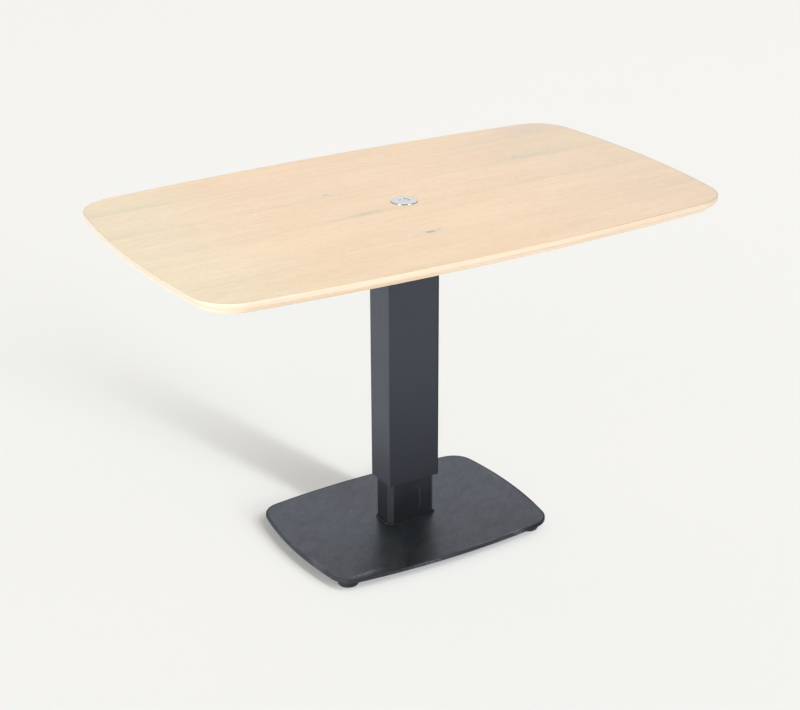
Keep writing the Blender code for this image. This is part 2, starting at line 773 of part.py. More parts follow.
def make_release(parts):
    seat = TABLE_HEIGHT - BEZEL_LET_IN + SEAT_GAP
    crown = TABLE_HEIGHT + BEZEL_PROUD
    bore = BUTTON_R + RUN_GAP
    shoulder = COLLAR_TOP + SEAT_GAP
    bezel = turned(
        "button_bezel",
        [
            (bore, crown - BEZEL_BORE_CHAMFER),
            (bore + BEZEL_BORE_CHAMFER, crown),
            (BEZEL_R - BEZEL_CHAMFER, crown),
            (BEZEL_R, crown - BEZEL_CHAMFER),
            (BEZEL_R, seat),
            (SLEEVE_R, seat),
            (SLEEVE_R, BEZEL_BOTTOM),
            (WELL_R, BEZEL_BOTTOM),
            (WELL_R, shoulder),
            (bore, shoulder),
        ],
        parts,
        steps=48,
        ring_shaped=True,
    )
    paint([bezel], material("bezel_chrome", CHROME))
    button = turned(
        "release_button",
        [
            (0.0, BUTTON_TOP - BUTTON_DISH),
            (0.55 * BUTTON_R, BUTTON_TOP - 0.5 * BUTTON_DISH),
            *rounded((BUTTON_R - BUTTON_EDGE, BUTTON_TOP - BUTTON_EDGE), BUTTON_EDGE, 90, 0, 3),
            (BUTTON_R, COLLAR_TOP),
            (COLLAR_R, COLLAR_TOP),
            (COLLAR_R, COLLAR_BOTTOM),
            (BUTTON_STEM_R, COLLAR_BOTTOM),
            (BUTTON_STEM_R, STEM_BOTTOM),
            (0.0, STEM_BOTTOM),
        ],
        parts,
    )
    paint([button], material("button_satin", SATIN))


def main():
    clear()
    parts = collection("pedestal_table")
    cutters = collection("cutters")
    make_tabletop(parts, cutters)
    make_head(parts)
    make_column(parts)
    make_welds(parts)
    make_guides(parts)
    make_base(parts, cutters)
    make_feet(parts)
    make_gas_spring(parts, cutters)
    make_rod_nuts(parts, cutters)
    make_release(parts)


main()
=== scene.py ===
"""A height-adjustable pedestal table: a pale oak top on a sliding steel column and a steel foot plate."""

from functools import reduce
from math import atan2, cos, hypot, pi, radians, sin, sqrt

import bmesh
import bpy
from mathutils import Matrix, Vector


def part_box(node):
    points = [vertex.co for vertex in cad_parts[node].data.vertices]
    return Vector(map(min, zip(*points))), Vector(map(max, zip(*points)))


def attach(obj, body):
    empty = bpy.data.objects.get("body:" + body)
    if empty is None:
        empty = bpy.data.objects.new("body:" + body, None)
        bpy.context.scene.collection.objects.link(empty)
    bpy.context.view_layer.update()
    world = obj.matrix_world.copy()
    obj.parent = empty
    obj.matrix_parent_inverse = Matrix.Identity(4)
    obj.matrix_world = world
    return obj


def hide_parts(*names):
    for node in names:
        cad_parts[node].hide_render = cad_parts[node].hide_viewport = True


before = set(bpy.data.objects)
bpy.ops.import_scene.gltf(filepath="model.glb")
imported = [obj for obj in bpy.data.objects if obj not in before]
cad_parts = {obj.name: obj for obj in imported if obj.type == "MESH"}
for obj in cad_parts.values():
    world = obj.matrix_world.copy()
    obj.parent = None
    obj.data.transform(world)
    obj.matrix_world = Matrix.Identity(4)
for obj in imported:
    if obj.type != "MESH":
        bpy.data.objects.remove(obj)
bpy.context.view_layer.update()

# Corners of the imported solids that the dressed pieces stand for
top_low, top_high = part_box("tabletop")
plate_low, plate_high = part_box("base_plate")
outer_low, outer_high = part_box("outer_column")
inner_low, inner_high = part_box("inner_column")
head_low, head_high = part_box("head_plate")
bezel_low, bezel_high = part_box("button_bezel")
button_low, button_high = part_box("release_button")
TOP_FACE, TOP_UNDER = top_high.z, top_low.z
PLATE_FACE, PLATE_UNDER = plate_high.z, plate_low.z
BEZEL_R = (bezel_high.x - bezel_low.x) / 2

# Tabletop
TOP_LONG_BOW = 0.0325
TOP_SHORT_BOW = 0.034
TOP_CORNER = 0.0865
TOP_ARRIS = 0.0008
TOP_BAND = 0.0105
TOP_UNDERCUT = 0.0185
TOP_TURN = 0.003
UNDER_EASE = 0.0012
BEZEL_SEAT_R = 0.0277
SEAT_EASE = 0.0004
BEZEL_LET_IN = 0.0012
BUTTON_HOLE_R = 0.0172
BUTTON_REACH = 0.0108

# Foot plate and feet
PLATE_LONG_BOW = 0.0215
PLATE_SHORT_BOW = 0.0245
PLATE_CORNER = 0.050
PLATE_ARRIS = 0.0012
SEAT_SCREW_R = 0.004
SEAT_SCREW_HEAD_R = 0.0076
SEAT_SCREW_SOCKET = 0.005
FOOT_ROUND = 0.0045
PAD_FLOOR = 0.004
STUD_R = 0.004
STUD_PITCH = 0.00125
SOLE_RINGS = (0.82, 0.60, 0.38)

# Column
OUTER_WALL = 0.002
OUTER_CORNER = 0.002
INNER_WALL = 0.003
INNER_BEVEL = 0.0103
INNER_EASE = 0.0009
TUBE_LIP = 0.0005
HOOK_X, HOOK_UP, HOOK_R = 0.0040, 0.0640, 0.0147
FOOT_WELD = 0.0040
HEAD_WELD = 0.0030
WELD_SEAT = 0.40  # how far out a bead's middle lies, as a share of its leg
WELD_PITCH = 0.0019

# Head plate and its screws
HEAD_CORNER = 0.020
HEAD_ARRIS = 0.0006
HEAD_RUN = 0.001
SCREW_RECESS = 0.00105
SCREW_SHANK_R = 0.0021

# Play between pieces that fit together, and the flat strip kept beside an eased edge
SLACK = 0.0003
FLAT_RUN = 0.002

# The rims of the top and of the foot plate are darker as far in as this; on the foot plate it is painted
# shade
RIM_SHADE = 0.007

# Fineness of the dressed pieces
SIDE_STEPS = 40
CORNER_STEPS = 24
TUBE_STEPS = 10
TURN_STEPS = 96
EASE_STEPS = 4
TOUCH = 1e-7  # points closer than this are one
SHARP_FROM = 50  # degrees

# Planks of the top: seams across it, and how far the planks lean from the length of the table
PLANK_LEAN = 0.0192
SEAMS = (-0.211, -0.035, 0.100, 0.237)

# Photographed tone of the background
PAPER = (0.905, 0.896, 0.863)

# Camera: the photograph's width and focal length in pixels, the sensor, and its place and angles
PHOTO_WIDTH = 800
FOCAL = 1740.075
SENSOR = 36.0
CAMERA_AT = (-1.70399, -2.84895, 1.87185)
CAMERA_TURN, CAMERA_RISE, CAMERA_ROLL = -30.7344, 23.8478, -0.2305


class Wire:
    """An output of a node. Arithmetic on wires adds Math nodes to the same tree."""

    def __init__(self, board, socket):
        self.board, self.socket = board, socket

    def maths(self, operation, *values):
        return self.board.node("ShaderNodeMath", {"operation": operation}, values)

    def __add__(self, other):
        return self.maths("ADD", self, other)

    __radd__ = __add__

    def __sub__(self, other):
        return self.maths("SUBTRACT", self, other)

    def __rsub__(self, other):
        return self.maths("SUBTRACT", other, self)

    def __mul__(self, other):
        return self.maths("MULTIPLY", self, other)

    __rmul__ = __mul__

    def __truediv__(self, other):
        return self.maths("DIVIDE", self, other)

    def __rtruediv__(self, other):
        return self.maths("DIVIDE", other, self)

    def __neg__(self):
        return self.maths("SUBTRACT", 0.0, self)

    def __abs__(self):
        return self.maths("ABSOLUTE", self)

    def above(self, level):
        return self.maths("GREATER_THAN", self, level)

    def most(self, other):
        return self.maths("MAXIMUM", self, other)

    def least(self, other):
        return self.maths("MINIMUM", self, other)

    def sine(self):
        return self.maths("SINE", self)

    def exp(self):
        return self.maths("EXPONENT", self)

    def root(self):
        return self.maths("SQRT", self)

    def bell(self):
        """1 at zero, falling away smoothly on both sides."""
        return (-(self * self)).exp()

    def bearing(self, other):
        return self.maths("ARCTAN2", self, other)

    def side(self, name):
        """Another output of the same node."""
        return Wire(self.board, self.socket.node.outputs[name])


def strongest(wires):
    """The greatest of several values."""
    return reduce(Wire.most, wires)


def distance(dx, dy):
    """How far two offsets reach together."""
    return (dx * dx + dy * dy).root()


class Board:
    """A node tree, and the one way in which nodes are put on it."""

    def __init__(self, tree):
        self.tree = tree

    def node(self, kind, settings=None, sockets=(), out=0):
        made = self.tree.nodes.new(kind)
        for name, value in (settings or {}).items():
            setattr(made, name, value)
        pairs = sockets.items() if isinstance(sockets, dict) else enumerate(sockets)
        for key, value in pairs:
            for one in value if isinstance(value, list) else [value]:
                if isinstance(one, Wire):
                    self.tree.links.new(one.socket, made.inputs[key])
                else:
                    made.inputs[key].default_value = one
        return Wire(self, made.outputs[out]) if made.outputs else None

    def rise(self, value, low, high, floor=0.0, ceiling=1.0):
        """A soft step from floor to ceiling while the value runs from low to high."""
        sockets = {"Value": value, "From Min": low, "From Max": high, "To Min": floor, "To Max": ceiling}
        return self.node("ShaderNodeMapRange", {"interpolation_type": "SMOOTHSTEP"}, sockets)

    def mix(self, share, a, b, blend="MIX"):
        """One colour laid over another."""
        def colour(c):
            return c if isinstance(c, Wire) else (*c, 1.0)

        settings = {"data_type": "RGBA", "blend_type": blend}
        return self.node("ShaderNodeMix", settings, {0: share, 6: colour(a), 7: colour(b)}, out=2)


class Finish(Board):
    """A surface finish on a Principled shader, drawn in the piece's own coordinates."""

    def __init__(self, name, **constants):
        self.material = bpy.data.materials.new(name)
        self.material.use_nodes = True
        super().__init__(self.material.node_tree)
        self.shader = self.tree.nodes["Principled BSDF"]
        for socket, value in constants.items():
            self.shader.inputs[socket.replace("_", " ")].default_value = value
        self.place = self.node("ShaderNodeTexCoord").side("Object")
        self.x = self.node("ShaderNodeSeparateXYZ", sockets=(self.place,))
        self.y, self.z = self.x.side("Y"), self.x.side("Z")

    def rim(self):
        """How far in from the rim a place on the face is, as its mesh says."""
        return self.node("ShaderNodeAttribute", {"attribute_name": "rim_depth"}).side("Fac")

    def noise(self, vector, scale, detail, roughness):
        sockets = {"Vector": vector, "Scale": scale, "Detail": detail, "Roughness": roughness}
        return self.node("ShaderNodeTexNoise", sockets=sockets)

    def even(self, scale, detail=2.0, roughness=0.5):
        """Noise of one size in every direction, as patches in a metre."""
        return self.noise(self.place, scale, detail, roughness)

    def drawn(self, x, y, z, detail=2.0, roughness=0.5):
        """Noise in coordinates that are stretched or turned first."""
        return self.noise(self.node("ShaderNodeCombineXYZ", sockets=(x, y, z)), 1.0, detail, roughness)

    def spot(self, x, y, at, size):
        """An oval patch that falls away smoothly from 1 in its middle."""
        dx, dy = (x - at[0]) / size[0], (y - at[1]) / size[1]
        return (-(dx * dx + dy * dy)).exp()

    def bump(self, height, strength, depth):
        sockets = {"Strength": strength, "Distance": depth, "Height": height}
        return self.node("ShaderNodeBump", sockets=sockets)

    def feed(self, **wires):
        for socket, wire in wires.items():
            self.tree.links.new(wire.socket, self.shader.inputs[socket.replace("_", " ")])
        return self.material


class Pattern(Board):
    """A geometry tree that makes a piece from a path, named sizes and a finish."""

    def __init__(self, name, *sizes):
        super().__init__(bpy.data.node_groups.new(name, "GeometryNodeTree"))
        inputs = [("Path", "Geometry"), *[(size, "Float") for size in sizes], ("Finish", "Material")]
        for socket, kind in inputs:
            self.tree.interface.new_socket(socket, in_out="INPUT", socket_type="NodeSocket" + kind)
        self.tree.interface.new_socket("Piece", in_out="OUTPUT", socket_type="NodeSocketGeometry")
        given = self.node("NodeGroupInput")
        self.path, *self.sizes, self.finish = [given.side(socket) for socket, kind in inputs]

    def upright_curve(self):
        """The path as a curve whose sections stand upright."""
        curve = self.node("GeometryNodeMeshToCurve", sockets={"Mesh": self.path})
        return self.node("GeometryNodeSetCurveNormal", {"mode": "Z_UP"}, {"Curve": curve})

    def round_bar(self, sides, radius, length):
        """An upright bar with its middle at the origin."""
        sockets = {"Vertices": sides, "Radius": radius, "Depth": length}
        return self.node("GeometryNodeMeshCylinder", sockets=sockets)

    def moved(self, shape, **offsets):
        """A shape moved along one axis or more."""
        by = self.node("ShaderNodeCombineXYZ", sockets=offsets)
        return self.node("GeometryNodeTransform", sockets={"Geometry": shape, "Translation": by})

    def chance(self, low, high, seed):
        """A number between two limits for each point, the same in every run."""
        sockets = {2: low, 3: high, "Seed": seed}
        return self.node("FunctionNodeRandomValue", {"data_type": "FLOAT"}, sockets, out=1)

    def done(self, shape):
        """Makes every copy real, gives it its finish and hands it on."""
        real = self.node("GeometryNodeRealizeInstances", sockets={"Geometry": shape})
        coated = self.node("GeometryNodeSetMaterial", sockets={"Geometry": real, "Material": self.finish})
        self.node("NodeGroupOutput", sockets=(coated,))
        return self.tree


def pale_oak():
    """Whitewashed oak planks with open grain, a few knots and a plainer, greyer edge."""
    f = Finish("pale_oak", IOR=1.45)
    along = f.x + f.y * PLANK_LEAN
    across = f.y - f.x * PLANK_LEAN
    plank = sum((across.above(seam) for seam in SEAMS[1:]), across.above(SEAMS[0]))
    chance = f.node("ShaderNodeTexWhiteNoise", {"noise_dimensions": "1D"}, {"W": plank + 3.0})
    second = f.node("ShaderNodeTexWhiteNoise", {"noise_dimensions": "1D"}, {"W": plank + 11.5})

    # The grain flows round the knots
    knots = (((-0.0535, -0.1815), 0.0084), ((-0.1155, 0.1165), 0.0040), ((0.3565, 0.1245), 0.0032))
    flow = across
    for at, size in knots:
        near = f.spot(along, across, at, (size * 7.0, size * 3.2))
        flow = flow - near * (across - at[1]) * 0.62
    start = along + chance * 7.3
    streaks = f.drawn(start * 4.5, flow * 75.0, f.z * 75.0, 3.0, 0.55)
    veins = f.drawn(start * 62.0, flow * 205.0, f.z * 205.0, 2.0, 0.6)
    fibres = f.drawn(start * 190.0, flow * 430.0, f.z * 430.0, 2.0, 0.6)
    pores = f.rise(f.drawn(start * 40.0, flow * 950.0, f.z * 950.0, 1.0, 0.5), 0.60, 0.74)
    clouds = f.drawn(start * 4.0, flow * 13.0, f.z * 13.0, 3.0, 0.55)
    blush = f.drawn(start * 26.0 + 31.0, flow * 90.0, f.z * 90.0, 4.0, 0.65)

    tone = streaks * 0.24 + veins * 0.28 + fibres * 0.28 + clouds * 0.20
    colour = f.mix(f.rise(tone, 0.35, 0.65), WOOD_DEEP, WOOD_PALE)
    colour = f.mix(pores * 0.16, colour, (0.56, 0.43, 0.31))
    colour = f.mix(f.rise(blush, 0.36, 0.64), colour, (1.0, 0.970, 0.930), "MULTIPLY")
    colour = f.mix(chance * 0.55, colour, (0.965, 0.975, 0.99), "MULTIPLY")
    colour = f.mix(second * 0.5, colour, (1.0, 0.985, 0.965), "MULTIPLY")

    # Painted light: the left ends of the boards lighter and cooler and the right ends darker; the wash has
    # settled in a grey band along each joint
    left = f.rise(f.x, -0.24, -0.56)
    right = f.rise(f.x, 0.05, 0.58)
    colour = f.mix(left, colour, (0.985, 1.075, 1.10), "MULTIPLY")
    colour = f.mix(right, colour, (0.925, 0.955, 0.985), "MULTIPLY")
    bands = (
        (0.237, 0.030, 0.25, ((-0.50, 0.20, 0.95), (0.36, 0.24, 0.65))),
        (0.100, 0.026, 0.12, ((-0.56, 0.11, 0.85), (0.44, 0.15, 0.95), (-0.16, 0.10, 0.28))),
        (-0.035, 0.017, 0.16, ((-0.115, 0.075, 0.80), (0.34, 0.17, 0.70), (-0.52, 0.10, 0.45))),
        (-0.211, 0.022, 0.10, ((0.57, 0.075, 1.00), (-0.47, 0.16, 0.35), (0.10, 0.12, 0.18))),
    )
    shares = []
    for seam, width, level, stretches in bands:
        past = across - seam
        fade = f.rise(past, -0.0006, 0.0006) * (-(past / width).most(0.0)).exp()
        run = level
        for at, reach, strength in stretches:
            run = ((along - at) / reach).bell() * strength + run
        shares.append(fade * run)
    grey = (strongest(shares) * (streaks * 0.9 + 0.55)).least(1.0)
    colour = f.mix(grey, colour, (0.895, 0.957, 0.985), "MULTIPLY")

    # Smoky patches, a pink streak and two faint swirls
    patches = (
        ((0.50, 0.285), (0.075, 0.034), (0.93, 0.955, 1.06), 0.9),
        ((-0.100, -0.0255), (0.036, 0.0080), (0.80, 0.88, 0.87), 0.85),
        ((-0.066, -0.185), (0.024, 0.0090), (0.93, 0.975, 1.00), 0.9),
        ((-0.033, -0.178), (0.018, 0.0065), (0.93, 0.975, 1.00), 0.9),
        ((-0.205, 0.103), (0.085, 0.0050), (0.965, 0.93, 0.93), 0.8),
        ((0.222, -0.290), (0.032, 0.012), (0.90, 0.945, 0.965), 0.8),
        ((-0.30, 0.300), (0.035, 0.020), (0.95, 0.945, 0.95), 0.7),
        ((0.375, 0.116), (0.045, 0.010), (0.90, 0.965, 0.96), 0.8),
    )
    for at, size, tint, strength in patches:
        patch = f.spot(along, across, at, size) * (streaks * 0.8 + 0.6)
        colour = f.mix((patch * strength).least(1.0), colour, tint, "MULTIPLY")
    for at, radius, wide in (((0.290, -0.013), 0.023, 0.0035), ((0.062, 0.004), 0.034, 0.004)):
        dx, dy = along - at[0], (across - at[1]) * 1.15
        off = (distance(dx, dy) + (streaks - 0.5) * 0.010 - radius) / wide
        colour = f.mix(off.bell() * 0.75, colour, (0.955, 0.945, 0.945), "MULTIPLY")

    # Knots: a smoky heart, drawn out along the grain, inside a greyed halo
    warp = (f.even(95.0, 3.0, 0.6) - 0.5) * 0.011
    hearts = []
    for (at, size), dark in zip(knots, ((0.36, 0.315, 0.265), (0.45, 0.33, 0.24), (0.40, 0.315, 0.24))):
        dx, dy = (along - at[0] + warp) * 0.52, across - at[1] + warp
        out = distance(dx, dy)
        halo = (-(out / (size * 1.9))).exp()
        heart = f.rise(out, size * 0.95, size * 0.30)
        colour = f.mix((halo * 0.9).least(1.0), colour, (0.905, 0.965, 1.03), "MULTIPLY")
        colour = f.mix(heart * (veins * 0.6 + 0.45), colour, dark)
        hearts.append(heart)
    for at, size in (((-0.2935, 0.1015), 0.0022), ((-0.108, 0.1085), 0.0020), ((-0.0335, -0.1795), 0.0030)):
        dot = f.spot(along, across, at, (size * 1.5, size))
        colour = f.mix(dot * 0.6, colour, (0.48, 0.40, 0.32))

    # The rim of the face is darker, more so along the right front, and the joints show as hairlines
    joint = strongest(f.rise(abs(across - seam), 0.00075, 0.0002) for seam in SEAMS)
    colour = f.mix(joint * 0.35, colour, (0.46, 0.35, 0.25))
    rim = f.rim()
    colour = f.mix(f.rise(rim, RIM_SHADE, 0.0004), colour, (0.90, 0.945, 0.965), "MULTIPLY")
    right_rim_dark = f.rise(rim, 0.0034, 0.0006) * f.rise(f.x - f.y * 0.5, 0.10, 0.52)
    colour = f.mix(right_rim_dark, colour, (0.80, 0.76, 0.71), "MULTIPLY")

    # The upright edge is greyer than the face, and the undercut and underside are plainer
    edge = f.rise(f.z, TOP_FACE - 0.0003, TOP_FACE - 0.0011)
    lower = f.rise(f.z, TOP_FACE - TOP_BAND + 0.0012, TOP_FACE - TOP_BAND - 0.0015)
    lengthwise = f.drawn(f.x * 5.0, f.y * 5.0, f.z * 420.0, 3.0, 0.6)
    edge_wood = f.mix(f.rise(lengthwise, 0.32, 0.70), EDGE_DEEP, EDGE_PALE)
    under_wood = f.mix(f.rise(lengthwise, 0.30, 0.70), UNDERCUT_DEEP, UNDERCUT_PALE)
    edge_wood = f.mix(lower, edge_wood, under_wood)
    plain_wood = f.mix(f.rise(tone, 0.35, 0.65), UNDERCUT_DEEP, UNDERCUT_PALE)
    edge_wood = f.mix(f.rise(f.z, TOP_UNDER + 0.0008, TOP_UNDER + 0.0001), edge_wood, plain_wood)
    edge_wood = f.mix(fibres * 0.25, edge_wood, (0.93, 0.90, 0.86), "MULTIPLY")
    # Painted light on the edge's ends as well: warmer on the left, lighter on the right.
    edge_wood = f.mix(left, edge_wood, (0.985, 0.955, 0.975), "MULTIPLY")
    edge_wood = f.mix(right, edge_wood, (1.0, 1.045, 1.045), "MULTIPLY")
    colour = f.mix(edge * 0.9, colour, edge_wood)

    rough = 0.50 + pores * 0.14 - fibres * 0.08 + grey * 0.05
    height = fibres * 0.5 + veins * 0.5 - pores * 0.9 - joint * 1.6 - strongest(hearts) * 0.8
    return f.feed(Base_Color=colour, Roughness=rough, Normal=f.bump(height, 0.16, 0.00035))


def powder_coat(name, deep, pale, rough, index, marks_and_sheen=None, shade=None):
    """Fine-textured powder coat on steel, wiped and scuffed, with painted shade and painted sheen where they
    are given.
    """
    f = Finish(name, IOR=index)
    clouds = f.even(9.0, 4.0, 0.62)
    smears = f.drawn(f.x * 14.0 + f.y * 9.0, f.y * 34.0 - f.x * 16.0, f.z * 13.0, 4.0, 0.68)
    peel = f.even(640.0, 2.0, 0.55)
    grit = f.even(2300.0, 1.0, 0.5)
    colour = f.mix(f.rise(clouds * 0.5 + smears * 0.5, 0.36, 0.64), deep, pale)
    colour = f.mix(f.rise(grit, 0.62, 0.80) * 0.4, colour, (0.045, 0.047, 0.052))
    worn = rough + (clouds - 0.5) * 0.16 + (smears - 0.5) * 0.18 + (grit - 0.5) * 0.08
    height = peel + grit * 0.4
    if shade:
        # Painted shade: a dark colour, a rougher finish and a little metal where the shade gives it.
        painted_dark = shade(f)
        colour = f.mix(painted_dark, colour, (0.008, 0.0095, 0.0115))
        worn = worn + painted_dark * 0.2
        f.feed(Metallic=painted_dark * 0.85)
    if marks_and_sheen:
        # Real scuffs, together with painted sheen and painted highlights, laid on in one lighter colour.
        scuff_and_sheen = marks_and_sheen(f)
        colour = f.mix(scuff_and_sheen, colour, (0.190, 0.204, 0.238))
        worn = worn + scuff_and_sheen * 0.22
        height = height - scuff_and_sheen * 0.5
    return f.feed(Base_Color=colour, Roughness=worn, Normal=f.bump(height, 0.11, 0.00011))


def plate_marks_and_sheen(f):
    """Rubbed places along the rim of the foot plate, a painted sheen in patches towards the back, and two
    specks on its face.
    """
    rubs = (
        ((0.160, -0.1900), (0.020, 0.0042), 1.0),
        ((-0.199, -0.1730), (0.030, 0.0040), 0.9),
        ((-0.060, -0.2000), (0.050, 0.0035), 0.6),
        ((-0.266, -0.090), (0.006, 0.0240), 0.6),
        ((0.090, -0.1930), (0.060, 0.0030), 0.4),
        ((0.262, 0.060), (0.004, 0.0500), 0.4),
    )
    found = strongest(f.spot(f.x, f.y, at, size) * strength for at, size, strength in rubs)
    scratches = f.rise(f.drawn(f.x * 170.0 + f.y * 60.0, f.y * 900.0, f.z * 500.0, 3.0, 0.6), 0.42, 0.62)
    found = found * scratches
    for at in ((-0.0679, 0.0991), (-0.0972, 0.0693)):
        found = found.most(f.spot(f.x, f.y, at, (0.0014, 0.0014)) * 0.8)
    # Painted sheen: lighter patches towards the back of the plate, kept off the rim.
    haze_and_sheen = f.rise(f.y - f.x * 0.25, -0.04, 0.22) * f.rise(f.even(26.0, 4.0, 0.65), 0.25, 0.62) * 0.055
    haze_and_sheen = haze_and_sheen * f.rise(f.rim(), 0.002, 0.006)
    return found.most(haze_and_sheen).least(0.8)


def plate_painted_shade_and_wipes(f):
    """Painted shade on the cut edge of the foot plate, on its rim towards the back and right, and on its
    front; and wiped patches in the coat.
    """
    # Painted shade: the cut edge, the far rim and the front are darkened; the wiped patches below are the
    # coat's own.
    cut = f.rise(f.z, PLATE_FACE - 0.0004, PLATE_FACE - 0.0013) * 0.66
    far_side = f.rise(f.y + f.x * 0.7, -0.20, 0.08, 0.32, 0.85)
    rim = f.rise(f.rim(), RIM_SHADE * 0.78, 0.0010) * far_side
    front = f.rise(f.y + f.even(14.0, 4.0, 0.6) * 0.12, 0.10, -0.13) * 0.12
    sway = (f.even(6.5, 2.0) - 0.5) * 0.11
    wiped = f.drawn((f.x + f.y) * 17.0, (f.y - f.x * 0.8 + sway) * 60.0, f.z * 20.0, 5.0, 0.74)
    blotches = f.even(34.0, 5.0, 0.72)
    return cut.most(rim + front + f.rise(wiped * 0.65 + blotches * 0.35, 0.37, 0.63) * 0.20)


def outer_painted_shade(f):
    """Painted shade: the outer tube darker towards its lower end, further up on its broad faces, and in
    lines down two of its corners.
    """
    # Painted shade, darker towards the lower end and reaching higher on the broad faces.
    broad = f.rise(abs(f.y), outer_high.y - 0.0020, outer_high.y - 0.0005)
    reach = f.rise(f.z, outer_low.z + 0.36, outer_low.z)
    low = (f.rise(f.z, outer_low.z + 0.15, outer_low.z) * 0.32).most(reach * broad * 0.30)
    # Painted shade: a dark line down the corners at minus x, plus y and at plus x, minus y.
    off = (outer_high.x - abs(f.x)).most(outer_high.y - abs(f.y))
    seam = f.rise(off, 0.0050, 0.0014) * (1.0 - (f.x * f.y).above(0.0)) * 0.75
    return low.most(seam)


def inner_marks_and_bevel_highlight(f):
    """A rubbed hook and its trail on the inner tube, lines drawn by the guide, and painted highlights on the
    bevels.
    """
    up = f.z - PLATE_FACE
    broad_face = f.rise(f.y, inner_low.y + 0.0012, inner_low.y + 0.0003)
    fleck = f.rise(f.even(420.0, 3.0, 0.6), 0.30, 0.60)
    dx, dz = f.x - HOOK_X, up - HOOK_UP
    bend = (distance(dx, dz) - HOOK_R) / 0.0011
    hook = bend.bell() * f.rise(dx, -0.001, 0.004) * f.rise(dz, 0.0, 0.003)
    sag = up - 0.053
    drift = (f.x - 0.0192 + sag * sag * 4.5 + (f.even(110.0, 2.0) - 0.5) * 0.004) / 0.0019
    trail = drift.bell() * f.rise(up, 0.017, 0.036) * f.rise(up, 0.072, 0.064)
    rubbed = (hook * 0.16).most(trail * 0.085) * fleck * broad_face
    drawn = f.rise(f.drawn(f.x * 1100.0, f.y * 1100.0, f.z * 5.0, 2.0, 0.5), 0.58, 0.78) * 0.05
    # Painted highlight: the bevels lighter, more so higher up the tube, along with the guide's lines.
    past = abs(f.x) + abs(f.y) - inner_high.x - inner_high.y + INNER_BEVEL
    bevel = f.rise(past, -0.0006, -0.0001) * (f.rise(up, 0.004, 0.075) * 0.014 + 0.006 + drawn * 0.3)
    return rubbed.most(drawn).most(bevel)


def inner_painted_shade(f):
    """Painted shade at the foot of the inner tube, on its narrow faces and bevels."""
    narrow = f.rise(abs(f.x), inner_high.x - INNER_BEVEL, inner_high.x - INNER_BEVEL * 0.8)
    return f.rise(f.z - PLATE_FACE, 0.070, 0.004) * narrow * 0.30


def black_paint():
    """Plain black stove enamel, as on parts that sit out of sight."""
    f = Finish("black_paint", IOR=1.5)
    clouds, peel = f.even(9.0, 3.0, 0.6), f.even(420.0, 2.0, 0.5)
    colour = f.mix(f.rise(clouds, 0.3, 0.7), (0.013, 0.013, 0.014), (0.021, 0.021, 0.023))
    rough = 0.36 + (clouds - 0.5) * 0.16 + (peel - 0.5) * 0.10
    return f.feed(Base_Color=colour, Roughness=rough, Normal=f.bump(peel, 0.14, 0.00016))


def zinc_steel():
    """Bright zinc plating with a fine spangle."""
    f = Finish("zinc_steel", Metallic=1.0)
    cells = f.node("ShaderNodeTexVoronoi", sockets={"Vector": f.place, "Scale": 520.0})
    clouds, fine = f.even(55.0, 3.0, 0.6), f.even(1500.0, 2.0, 0.5)
    tone = f.rise(cells * 0.5 + clouds * 0.5, 0.2, 0.75)
    colour = f.mix(tone, (0.47, 0.49, 0.51), (0.64, 0.65, 0.66))
    rough = 0.30 + clouds * 0.14 + (fine - 0.5) * 0.08
    return f.feed(Base_Color=colour, Roughness=rough, Normal=f.bump(fine + clouds, 0.10, 0.00005))


def turned_metal(name, deep, pale, rough, lines, shade_painter=None):
    """Metal finished on a lathe: fine rings round the middle of the table, haze, and painted shade where
    given.
    """
    f = Finish(name, Metallic=1.0)
    radius = distance(f.x, f.y)
    rings = f.drawn(radius * lines, radius * 40.0, f.z * lines * 0.4, 3.0, 0.7)
    haze = f.even(90.0, 3.0, 0.6)
    colour = f.mix(f.rise(rings * 0.6 + haze * 0.4, 0.3, 0.7), deep, pale)
    worn = rough + (rings - 0.5) * 0.10 + (haze - 0.5) * 0.10
    if shade_painter:
        # Painted shade, laid on as a dark colour and a rougher finish.
        painted_shade_mask = shade_painter(f, radius)
        colour = f.mix(painted_shade_mask, colour, (0.10, 0.10, 0.098))
        worn = worn + painted_shade_mask * 0.35
    return f.feed(Base_Color=colour, Roughness=worn, Normal=f.bump(rings, 0.05, 0.00004))


def bezel_painted_shade(f, radius):
    """Painted shade: a dark line low on the bezel's rim, left off in two places where the lamps' glints
    fall, and inside its bore.
    """
    # Painted shade: a dark line low on the outer slope of the rim.
    slope = f.rise(radius, BEZEL_R - 0.0016, BEZEL_R - 0.0007)
    low = f.rise(f.z, bezel_high.z - 0.0003, bezel_high.z - 0.0009) * slope
    round_it = f.y.bearing(f.x)
    # The painted shade is left off where the two glints of the lamps fall.
    for at in (-2.44, -1.69):
        low = low * (1.0 - f.rise(abs(round_it - at), 0.16, 0.08))
    # Painted shade inside the bore, darkest on one side.
    inside = f.rise(radius, BUTTON_REACH + 0.0007, BUTTON_REACH + 0.0004)
    bore = inside * f.rise(f.z, bezel_high.z, bezel_high.z - 0.0003)
    bore = bore * f.rise((round_it + pi / 2 - 0.26).sine(), 0.1, 0.75, 0.15, 0.9)
    return (low * (0.75 + f.even(220.0, 2.0) * 0.3)).most(bore).least(0.95)


def moulded_plastic(name, deep, pale, rough, grain):
    """Moulded plastic with a fine eroded texture."""
    f = Finish(name, IOR=1.48)
    texture, clouds = f.even(grain, 3.0, 0.6), f.even(24.0, 3.0, 0.6)
    colour = f.mix(f.rise(clouds * 0.5 + texture * 0.5, 0.3, 0.7), deep, pale)
    worn = rough + (clouds - 0.5) * 0.14 + (texture - 0.5) * 0.12
    return f.feed(Base_Color=colour, Roughness=worn, Normal=f.bump(texture, 0.22, 0.00012))


